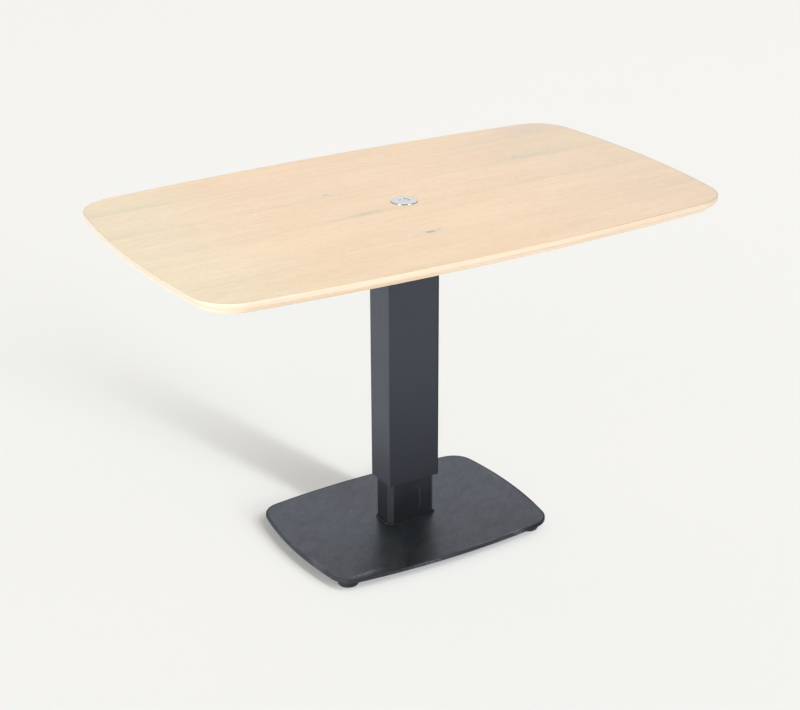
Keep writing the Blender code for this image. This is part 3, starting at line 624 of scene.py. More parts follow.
# Tones of the oak and of the coats, as linear values
WOOD_DEEP = (0.790, 0.602, 0.420)
WOOD_PALE = (0.888, 0.692, 0.495)
EDGE_DEEP = (0.602, 0.466, 0.352)
EDGE_PALE = (0.660, 0.535, 0.425)
UNDERCUT_DEEP = (0.725, 0.560, 0.388)
UNDERCUT_PALE = (0.840, 0.680, 0.502)

OAK = pale_oak()
OUTER_COAT = powder_coat(
    "outer_coat", (0.0042, 0.0060, 0.0092), (0.0068, 0.0094, 0.0132), 0.58, 1.68, None, outer_painted_shade
)
INNER_COAT = powder_coat(
    "inner_coat", (0.0042, 0.0050, 0.0062), (0.0064, 0.0074, 0.0090), 0.38, 1.5, inner_marks_and_bevel_highlight, inner_painted_shade
)
PLATE_COAT = powder_coat(
    "plate_coat", (0.0008, 0.0036, 0.0034), (0.0118, 0.0156, 0.0188), 0.37, 1.90, plate_marks_and_sheen, plate_painted_shade_and_wipes
)
WELD_COAT = powder_coat("weld_coat", (0.0030, 0.0036, 0.0044), (0.0054, 0.0062, 0.0074), 0.62, 1.40)
BLACK = black_paint()
ZINC = zinc_steel()
BEZEL_CHROME = turned_metal(
    "bezel_chrome", (0.80, 0.755, 0.645), (0.88, 0.835, 0.725), 0.15, 5200.0, bezel_painted_shade
)
BUTTON_SATIN = turned_metal("button_satin", (0.77, 0.725, 0.62), (0.85, 0.805, 0.70), 0.24, 3800.0)
ROD_CHROME = turned_metal("rod_chrome", (0.62, 0.63, 0.65), (0.74, 0.75, 0.77), 0.12, 2600.0)
FOOT_PLASTIC = moulded_plastic("foot_plastic", (0.005, 0.005, 0.0055), (0.010, 0.010, 0.011), 0.58, 900.0)
GUIDE_BLACK = moulded_plastic("guide_black", (0.012, 0.012, 0.013), (0.020, 0.020, 0.021), 0.46, 700.0)
GUIDE_WHITE = moulded_plastic("guide_white", (0.68, 0.68, 0.65), (0.78, 0.78, 0.75), 0.44, 700.0)


def arc(centre, radius, start, end, steps):
    """Points from start up to, but not on, end."""
    turn = (end - start) / steps
    return [
        (centre[0] + radius * cos(start + i * turn), centre[1] + radius * sin(start + i * turn))
        for i in range(steps)
    ]


def bowed(low, high, long_bow, short_bow, corner, inset):
    """The outline of a board with four bowed sides and round corners, drawn in all round by inset."""
    a, b = (high.x - low.x) / 2, (high.y - low.y) / 2
    long_r = (a * a + long_bow * long_bow) / (2 * long_bow)
    short_r = (b * b + short_bow * short_bow) / (2 * short_bow)
    long_c, short_c = (0.0, b - long_r), (a - short_r, 0.0)
    dx, dy = long_c[0] - short_c[0], long_c[1] - short_c[1]
    apart = hypot(dx, dy)
    r0, r1 = short_r - corner, long_r - corner
    reach = (r0 * r0 - r1 * r1 + apart * apart) / (2 * apart)
    off = sqrt(r0 * r0 - reach * reach)
    foot = (short_c[0] + reach * dx / apart, short_c[1] + reach * dy / apart)
    both = [(foot[0] - k * off * dy / apart, foot[1] + k * off * dx / apart) for k in (1, -1)]
    round_c = max(both, key=lambda p: p[0] + p[1])
    leave = atan2(round_c[1] - short_c[1], round_c[0] - short_c[0])
    arrive = atan2(round_c[1] - long_c[1], round_c[0] - long_c[0])
    quarter = arc(short_c, short_r - inset, 0.0, leave, SIDE_STEPS)
    quarter += arc(round_c, corner - inset, leave, arrive, CORNER_STEPS)
    quarter += arc(long_c, long_r - inset, arrive, pi / 2, SIDE_STEPS)
    quarter.append((0.0, b - inset))
    points = list(quarter)
    points += [(-x, y) for x, y in reversed(quarter[:-1])]
    points += [(-x, -y) for x, y in quarter[1:]]
    points += [(x, -y) for x, y in reversed(quarter[1:-1])]
    return points


def round_rect(low, high, corner, grow):
    """A rectangle with round corners, grown outwards."""
    a, b = (high.x - low.x) / 2 - corner, (high.y - low.y) / 2 - corner
    points = []
    for i, (x, y) in enumerate(((a, b), (-a, b), (-a, -b), (a, -b))):
        turn = (i + 1) * pi / 2
        points += arc((x, y), corner + grow, i * pi / 2, turn, TUBE_STEPS)
        points.append((x + (corner + grow) * cos(turn), y + (corner + grow) * sin(turn)))
    return points


def bevel_rect(low, high, bevel, ease, grow):
    """A rectangle with bevelled corners and eased edges, grown outwards."""
    a, b = (high.x - low.x) / 2 + grow, (high.y - low.y) / 2 + grow
    cut, ease = bevel + grow * (2 - sqrt(2)), ease + grow
    back = cut + ease * (sqrt(2) - 1)
    quarter = arc((a - ease, b - back), ease, 0.0, pi / 4, EASE_STEPS)
    quarter.append((a - ease + ease * cos(pi / 4), b - back + ease * sin(pi / 4)))
    quarter += arc((a - back, b - ease), ease, pi / 4, pi / 2, EASE_STEPS)
    quarter.append((a - back, b))
    points = list(quarter)
    points += [(-x, y) for x, y in reversed(quarter)]
    points += [(-x, -y) for x, y in quarter]
    points += [(x, -y) for x, y in reversed(quarter)]
    return points


def ray_circle(radius, outline):
    """A circle with one point on the bearing of each point of an outline."""
    return [(radius * x / hypot(x, y), radius * y / hypot(x, y)) for x, y in outline]


def level_ring(points, z):
    """The points of an outline, all at one height."""
    return [(x, y, z) for x, y in points]


def quarter_round(radius, steps=5):
    """Insets and drops of a rounded edge, from the face down to the side."""
    return [
        (radius * (1 - sin(i * pi / 2 / steps)), radius * (1 - cos(i * pi / 2 / steps)))
        for i in range(steps + 1)
    ]


def web(build, rows, through):
    """Faces between each row of points and the next, and from the last to the first round a hole."""
    pairs = list(zip(rows, rows[1:]))
    if through:
        pairs.append((rows[-1], rows[0]))
    for one, other in pairs:
        for i in range(len(one)):
            j = (i + 1) % len(one)
            corners = list(dict.fromkeys((one[i], one[j], other[j], other[i])))
            if len(corners) > 2:
                build.faces.new(corners)


def skinned(rings, through=False, depths=()):
    """A mesh skinned over rings of points, which keeps how far in from the rim each ring is."""
    build = bmesh.new()
    kept = build.verts.layers.float.new("rim_depth")
    rows = [[build.verts.new(p) for p in ring] for ring in rings]
    for row, depth in zip(rows, depths):
        for vert in row:
            vert[kept] = depth
    if not through:
        build.faces.new(rows[0])
        build.faces.new(rows[-1])
    web(build, rows, through)
    return closed(build)


def turned(profile, at=(0.0, 0.0), through=False):
    """A mesh turned round an upright line from a profile of (radius, height)."""
    build = bmesh.new()
    rows = []
    for radius, height in profile:
        if radius < TOUCH:
            rows.append([build.verts.new((*at, height))] * TURN_STEPS)
        else:
            ring = level_ring(arc(at, radius, 0.0, 2 * pi, TURN_STEPS), height)
            rows.append([build.verts.new(p) for p in ring])
    web(build, rows, through)
    return closed(build)


def closed(build):
    """A plain mesh from a bmesh, doubles joined and faces outwards, sharp where it turns hard."""
    bmesh.ops.remove_doubles(build, verts=build.verts, dist=TOUCH)
    bmesh.ops.recalc_face_normals(build, faces=build.faces)
    mesh = bpy.data.meshes.new("shape")
    build.to_mesh(mesh)
    build.free()
    mesh.shade_smooth()
    mesh.set_sharp_from_angle(angle=radians(SHARP_FROM))
    return mesh


def path_mesh(points, height):
    """A closed line of points, for a pattern to follow."""
    mesh = bpy.data.meshes.new("path")
    edges = [(i, (i + 1) % len(points)) for i in range(len(points))]
    mesh.from_pydata(level_ring(points, height), edges, [])
    return mesh


def point_mesh(points):
    """Loose points, for a pattern to stand on."""
    mesh = bpy.data.meshes.new("places")
    mesh.from_pydata(points, [], [])
    return mesh


def put(name, data):
    """A new object in the scene."""
    made = bpy.data.objects.new(name, data)
    bpy.context.scene.collection.objects.link(made)
    return made


def fit(name, mesh, body, finish, nodes, pattern=None, sizes=None):
    """Makes the finished piece for some nodes of a body, run through a pattern if one is given."""
    draft = put("draft", mesh)
    if pattern:
        grown = draft.modifiers.new("Pattern", "NODES")
        grown.node_group = pattern
        values = {**sizes, "Finish": finish}
        for item in pattern.interface.items_tree:
            if item.in_out == "INPUT" and item.name in values:
                grown[item.identifier] = values[item.name]
    evened = draft.modifiers.new("Even normals", "WEIGHTED_NORMAL")
    evened.keep_sharp = True
    evened.weight = 100
    graph = bpy.context.evaluated_depsgraph_get()
    made = bpy.data.meshes.new_from_object(draft.evaluated_get(graph))
    bpy.data.objects.remove(draft)
    made.name = name
    made.materials.clear()
    made.materials.append(finish)
    piece = put(name, made)
    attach(piece, body)
    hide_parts(*nodes)


def tube_tree():
    """A drawn steel tube: the section of its wall, with eased ends, swept along its outer face."""
    p = Pattern("drawn_tube", "Wall", "Height", "Lip")
    wall, height, lip = p.sizes
    sockets = {"Width": wall, "Height": height}
    plain = p.node("GeometryNodeCurvePrimitiveQuadrilateral", {"mode": "RECTANGLE"}, sockets)
    eased = p.node("GeometryNodeFilletCurve", {"mode": "POLY"}, {"Curve": plain, "Count": 4, "Radius": lip})
    sockets = {"Curve": p.upright_curve(), "Profile Curve": p.moved(eased, X=wall * -0.5)}
    swept = p.node("GeometryNodeCurveToMesh", sockets=sockets)
    return p.done(p.node("GeometryNodeMergeByDistance", sockets={"Geometry": swept, "Distance": 0.00001}))


def weld_tree():
    """A weld bead: overlapping ripples along a path, over a round core, with a knob where it stopped."""
    p = Pattern("weld_bead", "Leg", "Pitch", "Stop X", "Stop Y")
    leg, pitch, stop_x, stop_y = p.sizes
    line = p.upright_curve()
    ring = p.node("GeometryNodeCurvePrimitiveCircle", sockets={"Resolution": 12, "Radius": leg * 0.46})
    core = p.node("GeometryNodeCurveToMesh", sockets={"Curve": line, "Profile Curve": ring})
    steps = p.node("GeometryNodeResampleCurve", {"mode": "LENGTH"}, {"Curve": line, "Length": pitch})
    here = p.node("ShaderNodeSeparateXYZ", sockets=(p.node("GeometryNodeInputPosition"),))
    dx, dy = here - stop_x, here.side("Y") - stop_y
    knob = (-((dx * dx + dy * dy) / 0.000012)).exp() * 0.42 + 1.0
    across = leg * 0.53 * p.chance(0.90, 1.08, 7) * knob
    size = p.node("ShaderNodeCombineXYZ", sockets=(across, across, pitch * 0.98))
    tangent = p.node("GeometryNodeInputTangent")
    turn = p.node("FunctionNodeAlignRotationToVector", {"axis": "Z"}, {"Vector": tangent})
    drop = p.node("GeometryNodeMeshUVSphere", sockets={"Segments": 12, "Rings": 8, "Radius": 1.0})
    sockets = {"Points": steps, "Instance": drop, "Rotation": turn, "Scale": size}
    ripples = p.node("GeometryNodeInstanceOnPoints", sockets=sockets)
    both = p.node("GeometryNodeJoinGeometry", sockets={"Geometry": [core, ripples]})
    return p.done(p.node("GeometryNodeSetShadeSmooth", sockets={"Geometry": both}))


def pan_screw_tree():
    """Pan-head screws with a cross recess, hung head down from the points of a plate."""
    p = Pattern("pan_screws", "Head Radius", "Head Height", "Recess", "Shank Radius", "Shank")
    radius, height, slot, shank_radius, length = p.sizes
    ball = p.node("GeometryNodeMeshUVSphere", sockets={"Segments": 40, "Rings": 24, "Radius": 1.0})
    flat = p.node("ShaderNodeCombineXYZ", sockets=(radius * 1.18, radius * 1.18, height * 1.06))
    dome = p.node("GeometryNodeTransform", sockets={"Geometry": ball, "Scale": flat})
    barrel = p.moved(p.round_bar(40, radius, height * 2.0), Z=-height)
    overlap = {"operation": "INTERSECT", "solver": "EXACT"}
    head = p.node("GeometryNodeMeshBoolean", overlap, {"Mesh 2": [dome, barrel]})
    arms = []
    for long, short in ((4.6, 1.0), (1.0, 4.6)):
        size = p.node("ShaderNodeCombineXYZ", sockets=(slot * long, slot * short, height * 1.1))
        arms.append(p.moved(p.node("GeometryNodeMeshCube", sockets={"Size": size}), Z=-height))
    cut = {"operation": "DIFFERENCE", "solver": "EXACT"}
    head = p.node("GeometryNodeMeshBoolean", cut, {"Mesh 1": head, "Mesh 2": arms})
    shank = p.moved(p.round_bar(20, shank_radius, length), Z=length * 0.5)
    screw = p.node("GeometryNodeJoinGeometry", sockets={"Geometry": [head, shank]})
    spin = p.node("ShaderNodeCombineXYZ", sockets={"Z": p.chance(0.0, 1.57, 4)})
    sockets = {"Points": p.path, "Instance": screw, "Rotation": spin}
    return p.done(p.node("GeometryNodeInstanceOnPoints", sockets=sockets))


def stud_tree():
    """A threaded stud standing on each point: a core with its thread wound up it."""
    p = Pattern("threaded_stud", "Radius", "Pitch", "Height")
    radius, pitch, height = p.sizes
    core = p.moved(p.round_bar(32, radius - pitch * 0.5, height), Z=height * 0.5)
    room, root = height - pitch * 1.1, radius - pitch * 0.52
    sockets = {"Rotations": room / pitch, "Start Radius": root, "End Radius": root, "Height": room}
    thread = p.node("GeometryNodeCurveSpiral", sockets={"Resolution": 32, **sockets})
    thread = p.node("GeometryNodeSetCurveNormal", {"mode": "Z_UP"}, {"Curve": thread})
    ridge = p.node("GeometryNodeCurvePrimitiveCircle", sockets={"Resolution": 3, "Radius": pitch * 0.5})
    sockets = {"Curve": thread, "Profile Curve": ridge, "Fill Caps": True}
    wound = p.moved(p.node("GeometryNodeCurveToMesh", sockets=sockets), Z=pitch * 0.55)
    both = p.node("GeometryNodeJoinGeometry", sockets={"Geometry": [core, wound]})
    return p.done(p.node("GeometryNodeInstanceOnPoints", sockets={"Points": p.path, "Instance": both}))


def make_tabletop():
    """The top: a flat face with eased edge, an upright band, and a long undercut to the underside."""
    def outline(inset):
        return bowed(top_low, top_high, TOP_LONG_BOW, TOP_SHORT_BOW, TOP_CORNER, inset)

    turn_at = TOP_FACE - TOP_BAND
    slope = TOP_UNDERCUT / (turn_at - TOP_UNDER)
    run = hypot(1.0, slope)
    half = TOP_TURN / run
    edge = [(RIM_SHADE, TOP_FACE)]
    edge += [(inset, TOP_FACE - drop) for inset, drop in quarter_round(TOP_ARRIS)]
    for i in range(9):
        t = i / 8
        edge.append((
            t * t * half * slope,
            (1 - t) ** 2 * (turn_at + TOP_TURN) + 2 * t * (1 - t) * turn_at + t * t * (turn_at - half),
        ))
    edge += [
        (TOP_UNDERCUT - UNDER_EASE * slope / run, TOP_UNDER + UNDER_EASE / run),
        (TOP_UNDERCUT + 0.25 * UNDER_EASE, TOP_UNDER + 0.12 * UNDER_EASE),
        (TOP_UNDERCUT + UNDER_EASE, TOP_UNDER),
        (TOP_UNDERCUT + UNDER_EASE + FLAT_RUN, TOP_UNDER),
    ]
    rim = outline(0.0)
    rings = [level_ring(ray_circle(BEZEL_SEAT_R + SEAT_EASE, rim), TOP_FACE)]
    rings += [level_ring(outline(inset), z) for inset, z in edge]
    depths = [RIM_SHADE, *[inset for inset, z in edge], *[RIM_SHADE] * 4]
    for radius, z in (
        (BUTTON_HOLE_R, TOP_UNDER),
        (BUTTON_HOLE_R, TOP_FACE - BEZEL_LET_IN),
        (BEZEL_SEAT_R, TOP_FACE - BEZEL_LET_IN),
        (BEZEL_SEAT_R, TOP_FACE - SEAT_EASE),
    ):
        rings.append(level_ring(ray_circle(radius, rim), z))
    fit("oak_top", skinned(rings, True, depths), "lift", OAK, ["tabletop"])


def make_foot_plate():
    """The foot plate: thick sheet with eased edges, countersunk from below for the gas spring's screw."""
    def outline(inset):
        return bowed(plate_low, plate_high, PLATE_LONG_BOW, PLATE_SHORT_BOW, PLATE_CORNER, inset)

    soft = quarter_round(PLATE_ARRIS)
    edge = [(RIM_SHADE, PLATE_FACE)]
    edge += [(inset, PLATE_FACE - drop) for inset, drop in soft]
    edge += [(inset, PLATE_UNDER + drop) for inset, drop in reversed(soft)]
    edge.append((PLATE_ARRIS + FLAT_RUN, PLATE_UNDER))
    rim = outline(0.0)
    hole, wide = SEAT_SCREW_R + SLACK, SEAT_SCREW_HEAD_R + SLACK
    rings = [level_ring(outline(inset), z) for inset, z in edge]
    depths = [*[inset for inset, z in edge], *[RIM_SHADE] * 3]
    for radius, z in ((wide, PLATE_UNDER), (hole, PLATE_UNDER + wide - hole), (hole, PLATE_FACE)):
        rings.append(level_ring(ray_circle(radius, rim), z))
    fit("foot_plate", skinned(rings, True, depths), "base", PLATE_COAT, ["base_plate"])


def make_column():
    """The two tubes of the column, each swept from the section of its wall, and the welds that hold them."""
    def outer_ring(grow):
        return round_rect(outer_low, outer_high, OUTER_CORNER, grow)

    def inner_ring(grow):
        return bevel_rect(inner_low, inner_high, INNER_BEVEL, INNER_EASE, grow)

    tube = tube_tree()
    for name, ring, low, high, wall, body, slot, finish in (
        ("outer_tube", outer_ring, outer_low.z, outer_high.z, OUTER_WALL, "lift", "outer_coat", OUTER_COAT),
        ("inner_tube", inner_ring, inner_low.z, inner_high.z, INNER_WALL, "base", "inner_coat", INNER_COAT),
    ):
        path = path_mesh(ring(0.0), (low + high) / 2)
        sizes = {"Wall": wall, "Height": high - low, "Lip": TUBE_LIP}
        fit(name, path, body, finish, [name.replace("tube", "column")], tube, sizes)
    weld = weld_tree()
    foot_at, head_at = PLATE_FACE + WELD_SEAT * FOOT_WELD, head_low.z - WELD_SEAT * HEAD_WELD
    foot_stop, head_stop = (inner_high.x, inner_low.y + INNER_BEVEL), (outer_low.x, outer_high.y)
    for name, ring, leg, z, body, slot, finish, stop in (
        ("foot_bead", inner_ring, FOOT_WELD, foot_at, "base", "inner_coat", WELD_COAT, foot_stop),
        ("head_bead", outer_ring, HEAD_WELD, head_at, "lift", "black_paint", BLACK, head_stop),
    ):
        path = path_mesh(ring(WELD_SEAT * leg), z)
        sizes = {"Leg": leg, "Pitch": WELD_PITCH, "Stop X": stop[0], "Stop Y": stop[1]}
        fit(name, path, body, finish, [name.replace("bead", "weld")], weld, sizes)


def make_head():
    """The plate that carries the top, and the eight screws that hold it."""
    soft = quarter_round(HEAD_ARRIS, 3)
    edge = [(HEAD_ARRIS + HEAD_RUN, head_high.z)]
    edge += [(inset, head_high.z - drop) for inset, drop in soft]
    edge += [(inset, head_low.z + drop) for inset, drop in reversed(soft)]
    edge.append((HEAD_ARRIS + HEAD_RUN, head_low.z))
    rings = [level_ring(round_rect(head_low, head_high, HEAD_CORNER, -inset), z) for inset, z in edge]
    fit("carrier_plate", skinned(rings), "lift", BLACK, ["head_plate"])
    nodes = [f"head_screw_{i}" for i in range(1, 9)]
    hung_at = head_low.z - SLACK
    places = []
    for node in nodes:
        low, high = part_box(node)
        places.append(((low.x + high.x) / 2, (low.y + high.y) / 2, hung_at))
    low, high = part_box(nodes[0])
    sizes = {
        "Head Radius": (high.x - low.x) / 2,
        "Head Height": hung_at - low.z,
        "Recess": SCREW_RECESS,
        "Shank Radius": SCREW_SHANK_R,
        "Shank": high.z - hung_at,
    }
    fit("top_screws", point_mesh(places), "lift", ZINC, nodes, pan_screw_tree(), sizes)


def make_feet():
    """Levelling feet: a round plastic pad with grooves in its sole, on a threaded stud."""
    thread = stud_tree()
    hole = STUD_R + SLACK
    for i in range(1, 5):
        body = f"foot_{i}"
        low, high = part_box(f"foot_pad_{i}")
        at = ((low.x + high.x) / 2, (low.y + high.y) / 2)
        radius, top = (high.x - low.x) / 2, high.z
        sole = radius - FOOT_ROUND
        profile = [(0.0, PAD_FLOOR), (hole, PAD_FLOOR), (hole, top), (radius - 0.0016, top)]
        profile += [(radius - 0.0006, top - 0.0002), (radius - 0.0001, top - 0.0008), (radius, top - 0.0018)]
        for k in range(9):
            angle = k * pi / 16
            profile.append((sole + FOOT_ROUND * cos(angle), FOOT_ROUND - FOOT_ROUND * sin(angle)))
        for share in SOLE_RINGS:
            r = sole * share
            profile += [(r + 0.0011, 0.0), (r + 0.0007, 0.0006), (r - 0.0007, 0.0006), (r - 0.0011, 0.0)]
        profile.append((0.0, 0.0))
        fit(f"{body}_pad", turned(profile, at), body, FOOT_PLASTIC, [f"foot_pad_{i}"])
        low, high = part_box(f"foot_stud_{i}")
        base = point_mesh([(*at, low.z)])
        sizes = {"Radius": STUD_R, "Pitch": STUD_PITCH, "Height": high.z - low.z}
        fit(f"{body}_stud", base, body, ZINC, [f"foot_stud_{i}"], thread, sizes)


def make_seat_screw():
    """The countersunk screw under the foot plate, with its hexagon socket."""
    low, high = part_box("seat_screw")
    steps = 48
    corners = arc((0.0, 0.0), SEAT_SCREW_SOCKET / sqrt(3), 0.0, 2 * pi, 6)

    def ring(radius, z):
        return level_ring(arc((0.0, 0.0), radius, 0.0, 2 * pi, steps), z)

    def hexagon(z):
        points = []
        for k in range(steps):
            side, part = divmod(k * 6 / steps, 1)
            a, b = corners[int(side)], corners[(int(side) + 1) % 6]
            points.append((a[0] + (b[0] - a[0]) * part, a[1] + (b[1] - a[1]) * part, z))
        return points

    cone = SEAT_SCREW_HEAD_R - SEAT_SCREW_R
    rings = [
        hexagon(low.z + 0.003), hexagon(low.z), ring(SEAT_SCREW_HEAD_R - 0.0005, low.z),
        ring(SEAT_SCREW_HEAD_R, low.z + 0.0003), ring(SEAT_SCREW_R, low.z + cone),
        ring(SEAT_SCREW_R, high.z - 0.0006), ring(SEAT_SCREW_R - 0.0006, high.z),
    ]
    fit("spring_screw", skinned(rings), "base", ZINC, ["seat_screw"])


def make_release():
    """The bezel let into the top, and the button that works the gas spring's valve."""
    outer, crown, foot = BEZEL_R, bezel_high.z, bezel_low.z
    seat = TOP_FACE - BEZEL_LET_IN + SLACK
    reach = BUTTON_REACH
    bore, sleeve, well = reach + SLACK, 0.0169, 0.0135
    shoulder = button_low.z + 0.0045
    profile = [
        (bore, crown - 0.0012), (bore, crown - 0.0005), (bore + 0.0002, crown - 0.00015),
        (bore + 0.0005, crown), (outer - 0.0020, crown), (outer - 0.0013, crown - 0.0001),
        (outer - 0.0008, crown - 0.0004), (outer - 0.00025, crown - 0.0009), (outer, crown - 0.00135),
        (outer, seat), (sleeve, seat), (sleeve, foot), (well, foot), (well, shoulder), (bore, shoulder),
    ]
    ring = turned(profile, through=True)
    fit("button_ring", ring, "lift", BEZEL_CHROME, ["button_bezel"])
    top, collar = button_high.z, button_low.z
    radius = (button_high.x - button_low.x) / 2
    arris, stem = 0.0005, 0.0045
    flange_top, flange_under = collar + 0.0042, collar + 0.0012
    profile = [
        (0.0, top - 0.00042), (0.0030, top - 0.00040), (0.0060, top - 0.00030),
        (0.0088, top - 0.00010), (0.0098, top - 0.00002), (0.0102, top),
    ]
    for k in range(1, 7):
        angle = k * pi / 12
        profile.append((reach - arris + arris * sin(angle), top - arris + arris * cos(angle)))
    profile += [(reach, flange_top), (radius, flange_top), (radius, flange_under)]
    profile += [(stem, flange_under), (stem, collar), (0.0, collar)]
    fit("push_button", turned(profile), "button", BUTTON_SATIN, ["release_button"])


def dress_inner_works():
    """Finishes for the solids that stay as they are, inside the column and the top."""
    for finish, nodes in (
        (GUIDE_BLACK, ("lower_guide_bush", "gas_spring_guide")),
        (GUIDE_WHITE, ("upper_guide_bush",)),
        (BLACK, ("gas_spring_cylinder",)),
        (ROD_CHROME, ("gas_spring_rod",)),
        (ZINC, ("gas_spring_seat", "gas_spring_piston", "rod_nut_lower", "rod_nut_upper", "release_pin")),
    ):
        for node in nodes:
            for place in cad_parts[node].material_slots:
                place.material = finish


def set_camera():
    """The photograph's viewpoint: its bearing, height, slight roll and focal length."""
    turn, rise, roll = radians(CAMERA_TURN), radians(CAMERA_RISE), radians(CAMERA_ROLL)
    back = Vector((sin(turn) * cos(rise), -cos(turn) * cos(rise), sin(rise)))
    level = Vector((cos(turn), sin(turn), 0.0))
    upright = back.cross(level)
    right = cos(roll) * level + sin(roll) * upright
    up = cos(roll) * upright - sin(roll) * level
    lens = bpy.data.cameras.new("viewpoint")
    lens.sensor_width = SENSOR
    lens.lens = FOCAL * SENSOR / PHOTO_WIDTH
    lens.clip_end = 200.0
    lens.shift_x, lens.shift_y = -0.5 / PHOTO_WIDTH, 0.6 / PHOTO_WIDTH
    camera = put("viewpoint", lens)
    camera.matrix_world = Matrix.Translation(CAMERA_AT) @ Matrix((right, up, back)).transposed().to_4x4()
    bpy.context.scene.camera = camera


# Shares of the light, as the brightness that each gives a white sheet lying on the floor
SKY = 0.17
KEY = 0.53
SIDE = 0.22
LEFT_FILL = 0.24
FLOOR_LIGHT = 0.22  # for the floor and the bezel, low enough to shine in under the foot plate
FLOOR_TAKES = 0.78  # share of the floor's tone that answers to the lamps
RISING_FILL = 0.40  # light thrown back up by the floor in front, on a sheet that faces it
COOL = (0.84, 0.885, 1.02)  # the studio as gloss sees it
OVERHEAD = (0.30, 0.30, 0.30)
NEAR_FLOOR = (0.914, 0.946, 0.980)  # takes back the warm light that the wood throws on the floor
FAR_FLOOR = (1.082, 1.080, 1.084)
WOOD_REACH = 0.90  # how far that light goes
GLEAM = 1.30  # how much brighter gloss sees the floor behind the table on the left
LAMP_FAR = 100.0
LAMP_SPREAD = 22.0  # degrees
KEY_RISE = 49.0
STRIP_WIDE, STRIP_TALL = 6.0, 77.0


def make_floor():
    """A wide pale floor. Part of its tone is its own, and far off all of it, so that it looks even."""
    size = 40.0
    mesh = bpy.data.meshes.new("studio_floor")
    corners = [(-size, -size, 0), (size, -size, 0), (size, size, 0), (-size, size, 0)]
    mesh.from_pydata(corners, [], [(0, 1, 2, 3)])
    floor = put("studio_floor", mesh)
    material = bpy.data.materials.new("studio_floor")
    material.use_nodes = True
    material.node_tree.nodes.clear()
    board = Board(material.node_tree)
    level = SKY + KEY + SIDE + LEFT_FILL + FLOOR_LIGHT
    near, far = [
        [tone * tint * FLOOR_TAKES / level for tone, tint in zip(PAPER, tints)]
        for tints in (NEAR_FLOOR, FAR_FLOOR)
    ]
    plain, cool, bright = [
        [tone * share / level for tone in tint]
        for tint, share in ((PAPER, 1.0), (COOL, 1.0), (COOL, GLEAM))
    ]
    own = [tone * (1 - FLOOR_TAKES) for tone in PAPER]
    place = board.node("ShaderNodeTexCoord").side("Object")
    x = board.node("ShaderNodeSeparateXYZ", sockets=(place,))
    y = x.side("Y")
    away = x * x + y * y
    close = 1.0 / (away / (WOOD_REACH * WOOD_REACH) + 1.0)
    answers = board.node("ShaderNodeBsdfDiffuse", sockets={"Color": board.mix(close, far, near)})
    glow = board.node("ShaderNodeEmission", sockets={"Color": (*own, 1.0), "Strength": 1.0})
    shown = board.node("ShaderNodeAddShader", sockets=(answers, glow))
    even_tone = board.node("ShaderNodeEmission", sockets={"Color": (*PAPER, 1.0), "Strength": 1.0})
    shown = board.node("ShaderNodeMixShader", sockets=(board.rise(away, 5.0, 60.0), shown, even_tone))
    path = board.node("ShaderNodeLightPath")
    gloss = board.mix(board.rise(y - x * 0.6, 0.0, 0.9), cool, bright)
    tint = board.mix(path.side("Is Glossy Ray"), plain, gloss)
    bounce = board.node("ShaderNodeBsdfDiffuse", sockets={"Color": tint})
    floor_shader = board.node("ShaderNodeMixShader", sockets=(path, bounce, shown))
    clear = board.node("ShaderNodeBsdfTransparent")
    behind = board.node("ShaderNodeNewGeometry").side("Backfacing")
    one_sided = board.node("ShaderNodeMixShader", sockets=(behind, floor_shader, clear))
    board.node("ShaderNodeOutputMaterial", sockets={"Surface": one_sided})
    mesh.materials.append(material)


def make_sky():
    """A white studio that camera and gloss see as it is, darker overhead, and that lights softly."""
    world = bpy.data.worlds.new("studio")
    bpy.context.scene.world = world
    world.use_nodes = True
    world.node_tree.nodes.clear()
    board = Board(world.node_tree)
    direction = board.node("ShaderNodeTexCoord")
    height = board.node("ShaderNodeSeparateXYZ", sockets=(direction,)).side("Z")
    path = board.node("ShaderNodeLightPath")
    gloss = path.side("Is Glossy Ray")
    walls = board.mix(board.rise(height, 0.42, 0.95), board.mix(gloss, PAPER, COOL), OVERHEAD)
    room = board.node("ShaderNodeBackground", sockets={"Color": walls, "Strength": 1.0})
    soft = board.node("ShaderNodeBackground", sockets={"Color": (1.0, 1.0, 1.0, 1.0), "Strength": SKY})
    looked_at = path.side("Is Camera Ray").most(gloss).most(path.side("Is Transmission Ray"))
    chosen = board.node("ShaderNodeMixShader", sockets=(looked_at, soft, room))
    board.node("ShaderNodeOutputWorld", sockets={"Surface": chosen})


def gathered(name, pieces):
    """A collection of some pieces, for a lamp to heed."""
    group = bpy.data.collections.new(name)
    for piece in pieces:
        group.objects.link(bpy.data.objects[piece])
    return group


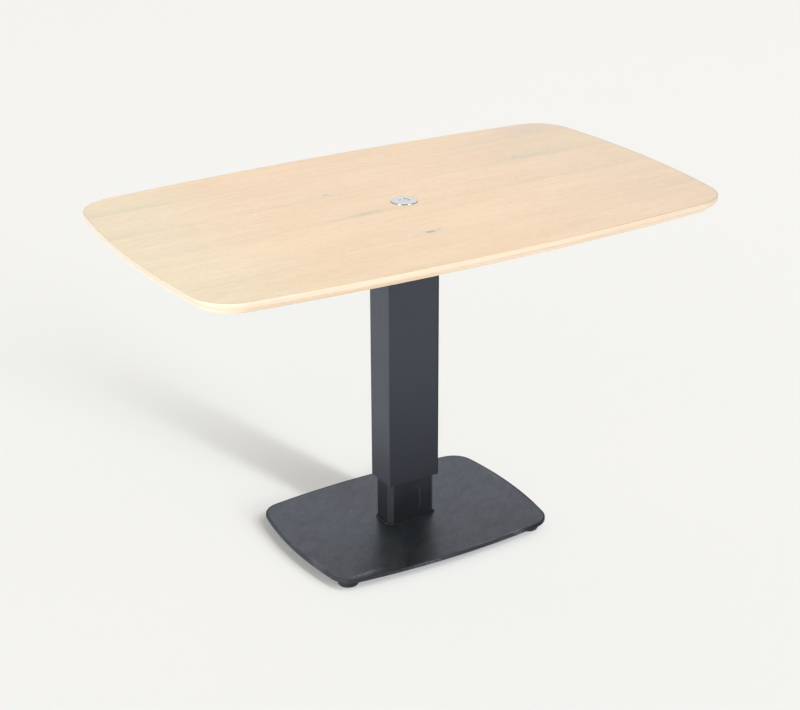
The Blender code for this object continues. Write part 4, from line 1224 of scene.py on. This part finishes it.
def aim(lamp, name, towards, casts, onto=None):
    """Hangs a lamp that shines from a direction, with shadows from some pieces, onto all or some."""
    hung = put(name, lamp)
    hung.location = towards * LAMP_FAR
    hung.rotation_mode = "QUATERNION"
    hung.rotation_quaternion = (-towards).to_track_quat("-Z", "Y")
    hung.visible_glossy = name in ("left_fill", "floor_light")
    lamp.use_shadow = bool(casts)
    if casts:
        hung.light_linking.blocker_collection = gathered(name + "_blockers", casts)
    if onto:
        hung.light_linking.receiver_collection = gathered(name + "_lit", onto)


def bearing(x, y, rise):
    """A direction from its bearing on the floor and its height in degrees."""
    flat = Vector((x, y, 0.0)).normalized() * cos(radians(rise))
    return Vector((flat.x, flat.y, sin(radians(rise))))


def make_lamps():
    """A tall key light in front, a softer one on the right, two fills without shadow, and a low lamp."""
    stand = ["foot_plate", *[f"foot_{i}_pad" for i in range(1, 5)]]
    upright = [*stand, "outer_tube", "inner_tube", "foot_bead"]
    strip = bpy.data.lights.new("key_strip", "AREA")
    strip.shape = "RECTANGLE"
    strip.size, strip.size_y = STRIP_WIDE, STRIP_TALL
    strip.energy = KEY * pi / sin(radians(KEY_RISE)) * pi * LAMP_FAR * LAMP_FAR
    aim(strip, "key_strip", bearing(0.222, -0.975, KEY_RISE), upright)
    for name, level, x, y, rise, casts, onto in (
        ("side_light", SIDE, 0.62, -0.78, 42.0, stand, None),
        ("left_fill", LEFT_FILL, -0.97, -0.24, 12.0, None, None),
        ("rising_fill", RISING_FILL, -0.37, -0.93, -36.0, None, None),
        ("floor_light", FLOOR_LIGHT, 0.232, -0.973, 17.0, upright, ["studio_floor", "button_ring"]),
    ):
        lamp = bpy.data.lights.new(name, "SUN")
        lamp.energy = level * pi / (sin(radians(rise)) if rise > 0 else 1.0)
        lamp.angle = radians(LAMP_SPREAD)
        aim(lamp, name, bearing(x, y, rise), casts, onto)


set_camera()
make_tabletop()
make_foot_plate()
make_column()
make_head()
make_feet()
make_seat_screw()
make_release()
dress_inner_works()
make_floor()
make_sky()
make_lamps()
bpy.context.scene.view_settings.view_transform = "Standard"
